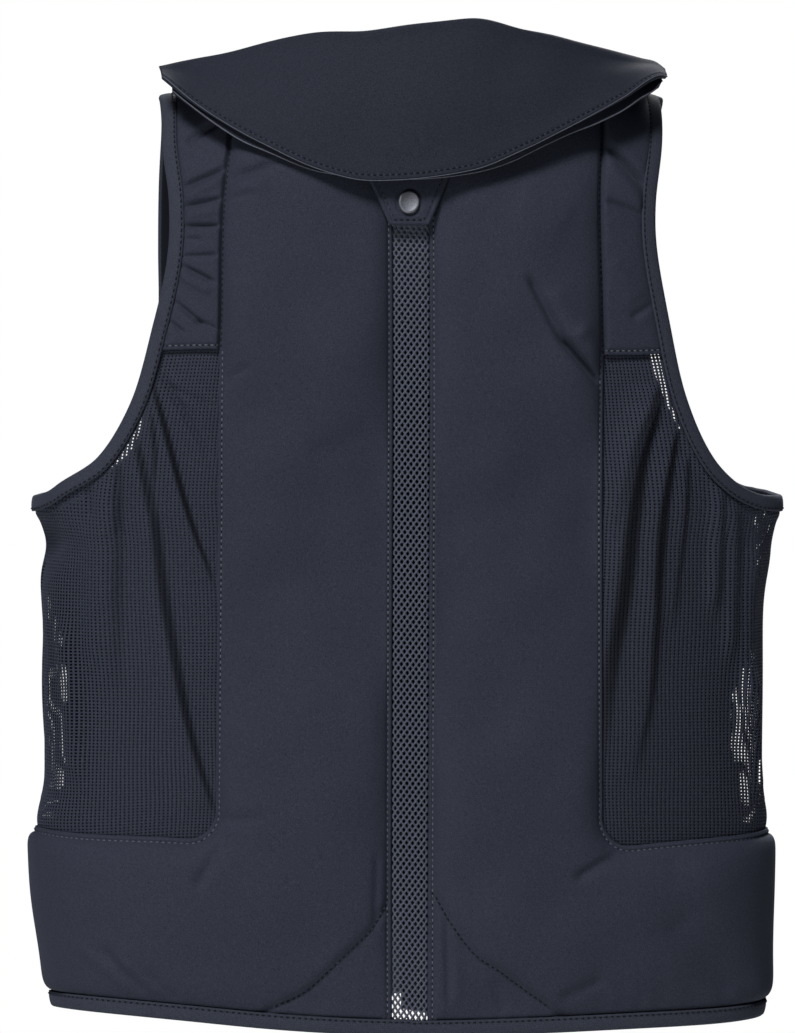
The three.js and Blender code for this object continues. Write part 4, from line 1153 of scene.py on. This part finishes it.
swell = ridge + SWELL_AT * (edge - ridge) + arch[:, None] * (0, -SWELL_BACK, SWELL_UP)
stations = np.stack([base, near_ridge(base), ridge, near_ridge(edge), swell, edge])
gaps = np.linalg.norm(np.diff(stations, axis=0), axis=-1).mean(1)
knots = np.concatenate([[0], np.cumsum(gaps)])
sheet = through_rows(knots, stations, np.linspace(0, knots[-1], 113))
ways = surface_ways(sheet)
steps = np.linalg.norm(np.diff(sheet, axis=0), axis=-1)
edge_way = np.concatenate([np.cumsum(steps[::-1], axis=0)[::-1], np.zeros((1, 201))])
outer_high = COLLAR_THICK / 2 * (1 - (1 - FLAP_RAW) * fading(edge_way, FLAP_ROLL))
outer_high -= FLAP_DIP * bell(edge_way - FLAP_SEWN, DIP_WIDE)
outer_high += FLAP_SLACK * slack_waves(sheet[..., 0], sheet[..., 2], 1) * (1 - bell(edge_way, SLACK_CLEAR))
flap = cloth_slab(
    "collar_flap_cloth",
    sheet + ways * outer_high[..., None],
    sheet - ways * COLLAR_THICK / 2,
    np.stack([np.broadcast_to(x, edge_way.shape), edge_way], -1),
)
# A darker copy of the shell nylon for the collar: painted shade against the light its upturned flap catches.
shaded_dark, shaded_light = (0.0089, 0.0108, 0.0188), (0.0262, 0.0305, 0.0456)
shaded_nylon = cloth_paint("nylon darkened as painted shade", shaded_dark, shaded_light, 0.55, 0.4, 0.05)
settle(flap, shaded_nylon, "shell_fabric", "collar_flap")
seam = sheet[-1] + unit(sheet[-6] - sheet[-1]) * FLAP_SEWN + ways[-4] * (COLLAR_THICK / 2 - STITCH_LOW)
sew("collar_stitches", [(seam[6:-6], ways[-4][6:-6])])


def painted_highlight_roll(name, path, thick):
    """A thin pale roll along an edge, a painted highlight of the turned cloth catching the light: a hexagon
    swept along it.
    """
    turn = np.arange(6) * np.pi / 3
    hexagon = thick / 2 * np.stack([-np.cos(turn), np.sin(turn)], -1)
    points, faces = sweep(path, np.array([[0, -1.0, 0]]), hexagon)[:2]
    settle(put_mesh(name, points, faces), pale_stitching_and_highlight, "shell_fabric")


# The flap's and the leaf's edges get pale rolls: painted highlight.
painted_highlight_roll("flap_painted_highlight", sheet[-1] + ways[-1] * FLAP_ROLL_OUT, FLAP_ROLL_THICK)
leaf_x = x[LEAF_SPAN]
leaf_edge = edge[LEAF_SPAN] + (0, LEAF_IN, 0)
leaf_edge[:, 2] = through_rows(LEAF[:, 0], LEAF[:, 1], leaf_x)
leaf_top = sheet[LEAF_TOP_ROW, LEAF_SPAN] + (0, LEAF_IN, 0)
fall = np.linspace(0, 1, 25)[:, None, None]
leaf_sheet = leaf_top + fall * (leaf_edge - leaf_top)
leaf_back = leaf_sheet - surface_ways(leaf_sheet) * LEAF_THICK
weave = np.stack([np.broadcast_to(leaf_x, leaf_sheet.shape[:2]), leaf_sheet[..., 2]], -1)
leaf = cloth_slab("collar_leaf_cloth", leaf_sheet, leaf_back, weave)
settle(leaf, shaded_nylon, "shell_fabric", "collar_leaf")
painted_highlight_roll("leaf_painted_highlight", leaf_sheet[-1], LEAF_ROLL_THICK)

# Snap tab: a small doubled tab of the shell cloth that comes out from under the collar, turned in and
# stitched round its edge. The snap presses a ring into it.
TAB_TOP, TAB_FOOT, TAB_HALF_TOP, TAB_HALF_FOOT = -36.0, -75.5, 29.0, 11.3
TAB_MID, TAB_LIFT, TAB_THICK, TAB_ROUND, TAB_RAW = -1.4, 7.4, 2.0, 1.8, 0.4
TAB_SEWN, TAB_SEWN_SIDE, TAB_DIP = 3.0, 3.2, 0.5
SNAP_X, SNAP_Z = -1.7, -62.8
PRESS_ROUND, PRESS_WIDE, PRESS_DEEP = 6.6, 1.4, 0.9
down = np.linspace(0, 1, 81)[:, None]
across = crowded(65, 8, 0.6, 36) * 2 - 1
z = TAB_TOP + down * (TAB_FOOT - TAB_TOP)
turn_in = np.maximum(TAB_ROUND - (z - TAB_FOOT), 0)
half = TAB_HALF_TOP + (TAB_HALF_FOOT - TAB_HALF_TOP) * down
half = half - TAB_ROUND + np.sqrt(np.maximum(TAB_ROUND**2 - turn_in**2, 0))
x = TAB_MID + half * across
z = z + 0 * x
edge_way = np.minimum(half - np.abs(x - TAB_MID), z - TAB_FOOT)
snap_way = np.hypot(x - SNAP_X, z - SNAP_Z)
high = TAB_LIFT + TAB_THICK * (1 - (1 - TAB_RAW) * fading(edge_way, RIM_ROLL))
high -= TAB_DIP * bell(edge_way - TAB_SEWN, DIP_WIDE) + PRESS_DEEP * bell(snap_way - PRESS_ROUND, PRESS_WIDE)
girth = girth_at(x, z)
outer, inner = lay(girth, z, high), lay(girth, z, np.full_like(z, TAB_LIFT))
tab = cloth_slab("snap_tab_cloth", outer, inner, np.stack([girth, z], -1))
settle(tab, shell, "shell_fabric", "snap_tab")
way = np.linspace(0, 1, 60)
left_x = TAB_MID - (TAB_HALF_TOP + (TAB_HALF_FOOT - TAB_HALF_TOP) * way) + TAB_SEWN_SIDE
left_z = TAB_TOP + way * (TAB_FOOT + TAB_SEWN - TAB_TOP)
foot_x = np.linspace(left_x[-1], 2 * TAB_MID - left_x[-1], 30)[1:-1]
run_x = np.concatenate([left_x, foot_x, 2 * TAB_MID - left_x[::-1]])
run_z = np.concatenate([left_z, np.full(28, left_z[-1]), left_z[::-1]])
run_high = np.full(len(run_x), TAB_LIFT + TAB_THICK - STITCH_LOW)
sew("tab_stitches", [stitch_line(girth_at(run_x, run_z), run_z, run_high)])

# Snap cap: the dished cap of a press snap, stamped from thin sheet metal with a rolled rim, darkened, and
# pressed through the tab.
SNAP_PROFILE = np.array([  # radius, height over the tab's face
    (0.02, 1.5), (1, 1.52), (2, 1.58), (3, 1.68), (4, 1.84), (4.6, 2.0),
    (5.1, 2.1), (5.5, 2.05), (5.8, 1.8), (6.0, 1.4), (6.1, 0.9), (6.1, -0.4),
])
SNAP_LOW = 0.4
ring_round, ring_high = SNAP_PROFILE.T[..., None]
spots = np.linspace(0, 2 * np.pi, 49)[:-1]
snap_x = SNAP_X + ring_round * np.cos(spots)
snap_z = SNAP_Z + ring_round * np.sin(spots)
points = lay(girth_at(snap_x, snap_z), snap_z, TAB_LIFT + TAB_THICK - SNAP_LOW + ring_high + 0 * snap_x)
grid = np.arange(points[..., 0].size).reshape(points.shape[:2])
grid = np.hstack([grid, grid[:, :1]])
cap = put_mesh("snap_cap_metal", points, [quads(grid), grid[:1, :-1], grid[-1:, -2::-1]])
satin = hard_paint("satin metal", (0.165, 0.172, 0.195), (0.255, 0.264, 0.295), 0.55, 1600, 1.0)
settle(cap, satin, "snap_metal", "snap_cap")

# The studio: a plain pale floor where a wearer's feet would be, a large soft light above and to the left of
# the camera, a weak low one from the left, one on the far side for the front of the vest, and a dim room that
# the camera sees as white.
FLOOR_Z, FLOOR_ROUND = -1450.0, 3000.0
spots = np.linspace(0, 2 * np.pi, 97)[:-1]
ring = np.stack([FLOOR_ROUND * np.cos(spots), FLOOR_ROUND * np.sin(spots), np.full(96, FLOOR_Z)], -1)
floor = put_mesh("floor", ring, [np.arange(96)[None]])
floor.data.materials.append(hard_paint("pale floor", (0.79, 0.79, 0.79), (0.81, 0.81, 0.81), 0.9, 40))


def soft_light(name, place, size, watts):
    """A square soft light in metres and watts that faces the vest's middle."""
    lamp = bpy.data.lights.new(name, "AREA")
    lamp.size = size
    lamp.energy = watts
    light = bpy.data.objects.new(name, lamp)
    light.location = place
    light.rotation_euler = (Vector((0, 0, -0.25)) - light.location).to_track_quat("-Z", "Y").to_euler()
    bpy.context.scene.collection.objects.link(light)


soft_light("key light", (-1.2, -2.5, 3.1), 1.1, 162)
soft_light("low fill", (-0.95, -1.6, -1.0), 0.8, 10)
soft_light("front light", (0.9, 2.6, 1.8), 1.5, 90)

world = bpy.data.worlds.new("white room")
bpy.context.scene.world = world
world.use_nodes = True
dim = world.node_tree.nodes["Background"]
dim.inputs["Color"].default_value = (0.82, 0.92, 1.2, 1)
dim.inputs["Strength"].default_value = 0.05
white = add_node(world, "Background", {"Color": (1, 1, 1, 1), "Strength": 1.0}, {})
seen = add_node(world, "LightPath", {}, {}).outputs["Is Camera Ray"]
both = add_node(world, "MixShader", {}, {"Fac": seen, 1: dim.outputs[0], 2: white.outputs[0]})
world.node_tree.links.new(both.outputs["Shader"], world.node_tree.nodes["World Output"].inputs["Surface"])
bpy.context.scene.view_settings.view_transform = "Standard"

# The camera stands five metres behind the vest, a little to the left and above, with a long lens, as the
# photo was taken.
CAMERA_AWAY = 5.0
CAMERA_YAW, CAMERA_RISE = np.radians(4.4), np.radians(2.0)
SEEN_MIDDLE = Vector((-0.0023, 0, -0.2445))
SEEN_HIGH = 0.6028
SENSOR = 36.0
lens = bpy.data.cameras.new("camera")
lens.sensor_width = SENSOR
lens.lens = SENSOR * CAMERA_AWAY / SEEN_HIGH
camera = bpy.data.objects.new("camera", lens)
away = Vector((
    -np.sin(CAMERA_YAW) * np.cos(CAMERA_RISE),
    -np.cos(CAMERA_YAW) * np.cos(CAMERA_RISE),
    np.sin(CAMERA_RISE),
))
camera.location = SEEN_MIDDLE + CAMERA_AWAY * away
camera.rotation_euler = (-away).to_track_quat("-Z", "Y").to_euler()
bpy.context.scene.collection.objects.link(camera)
bpy.context.scene.camera = camera
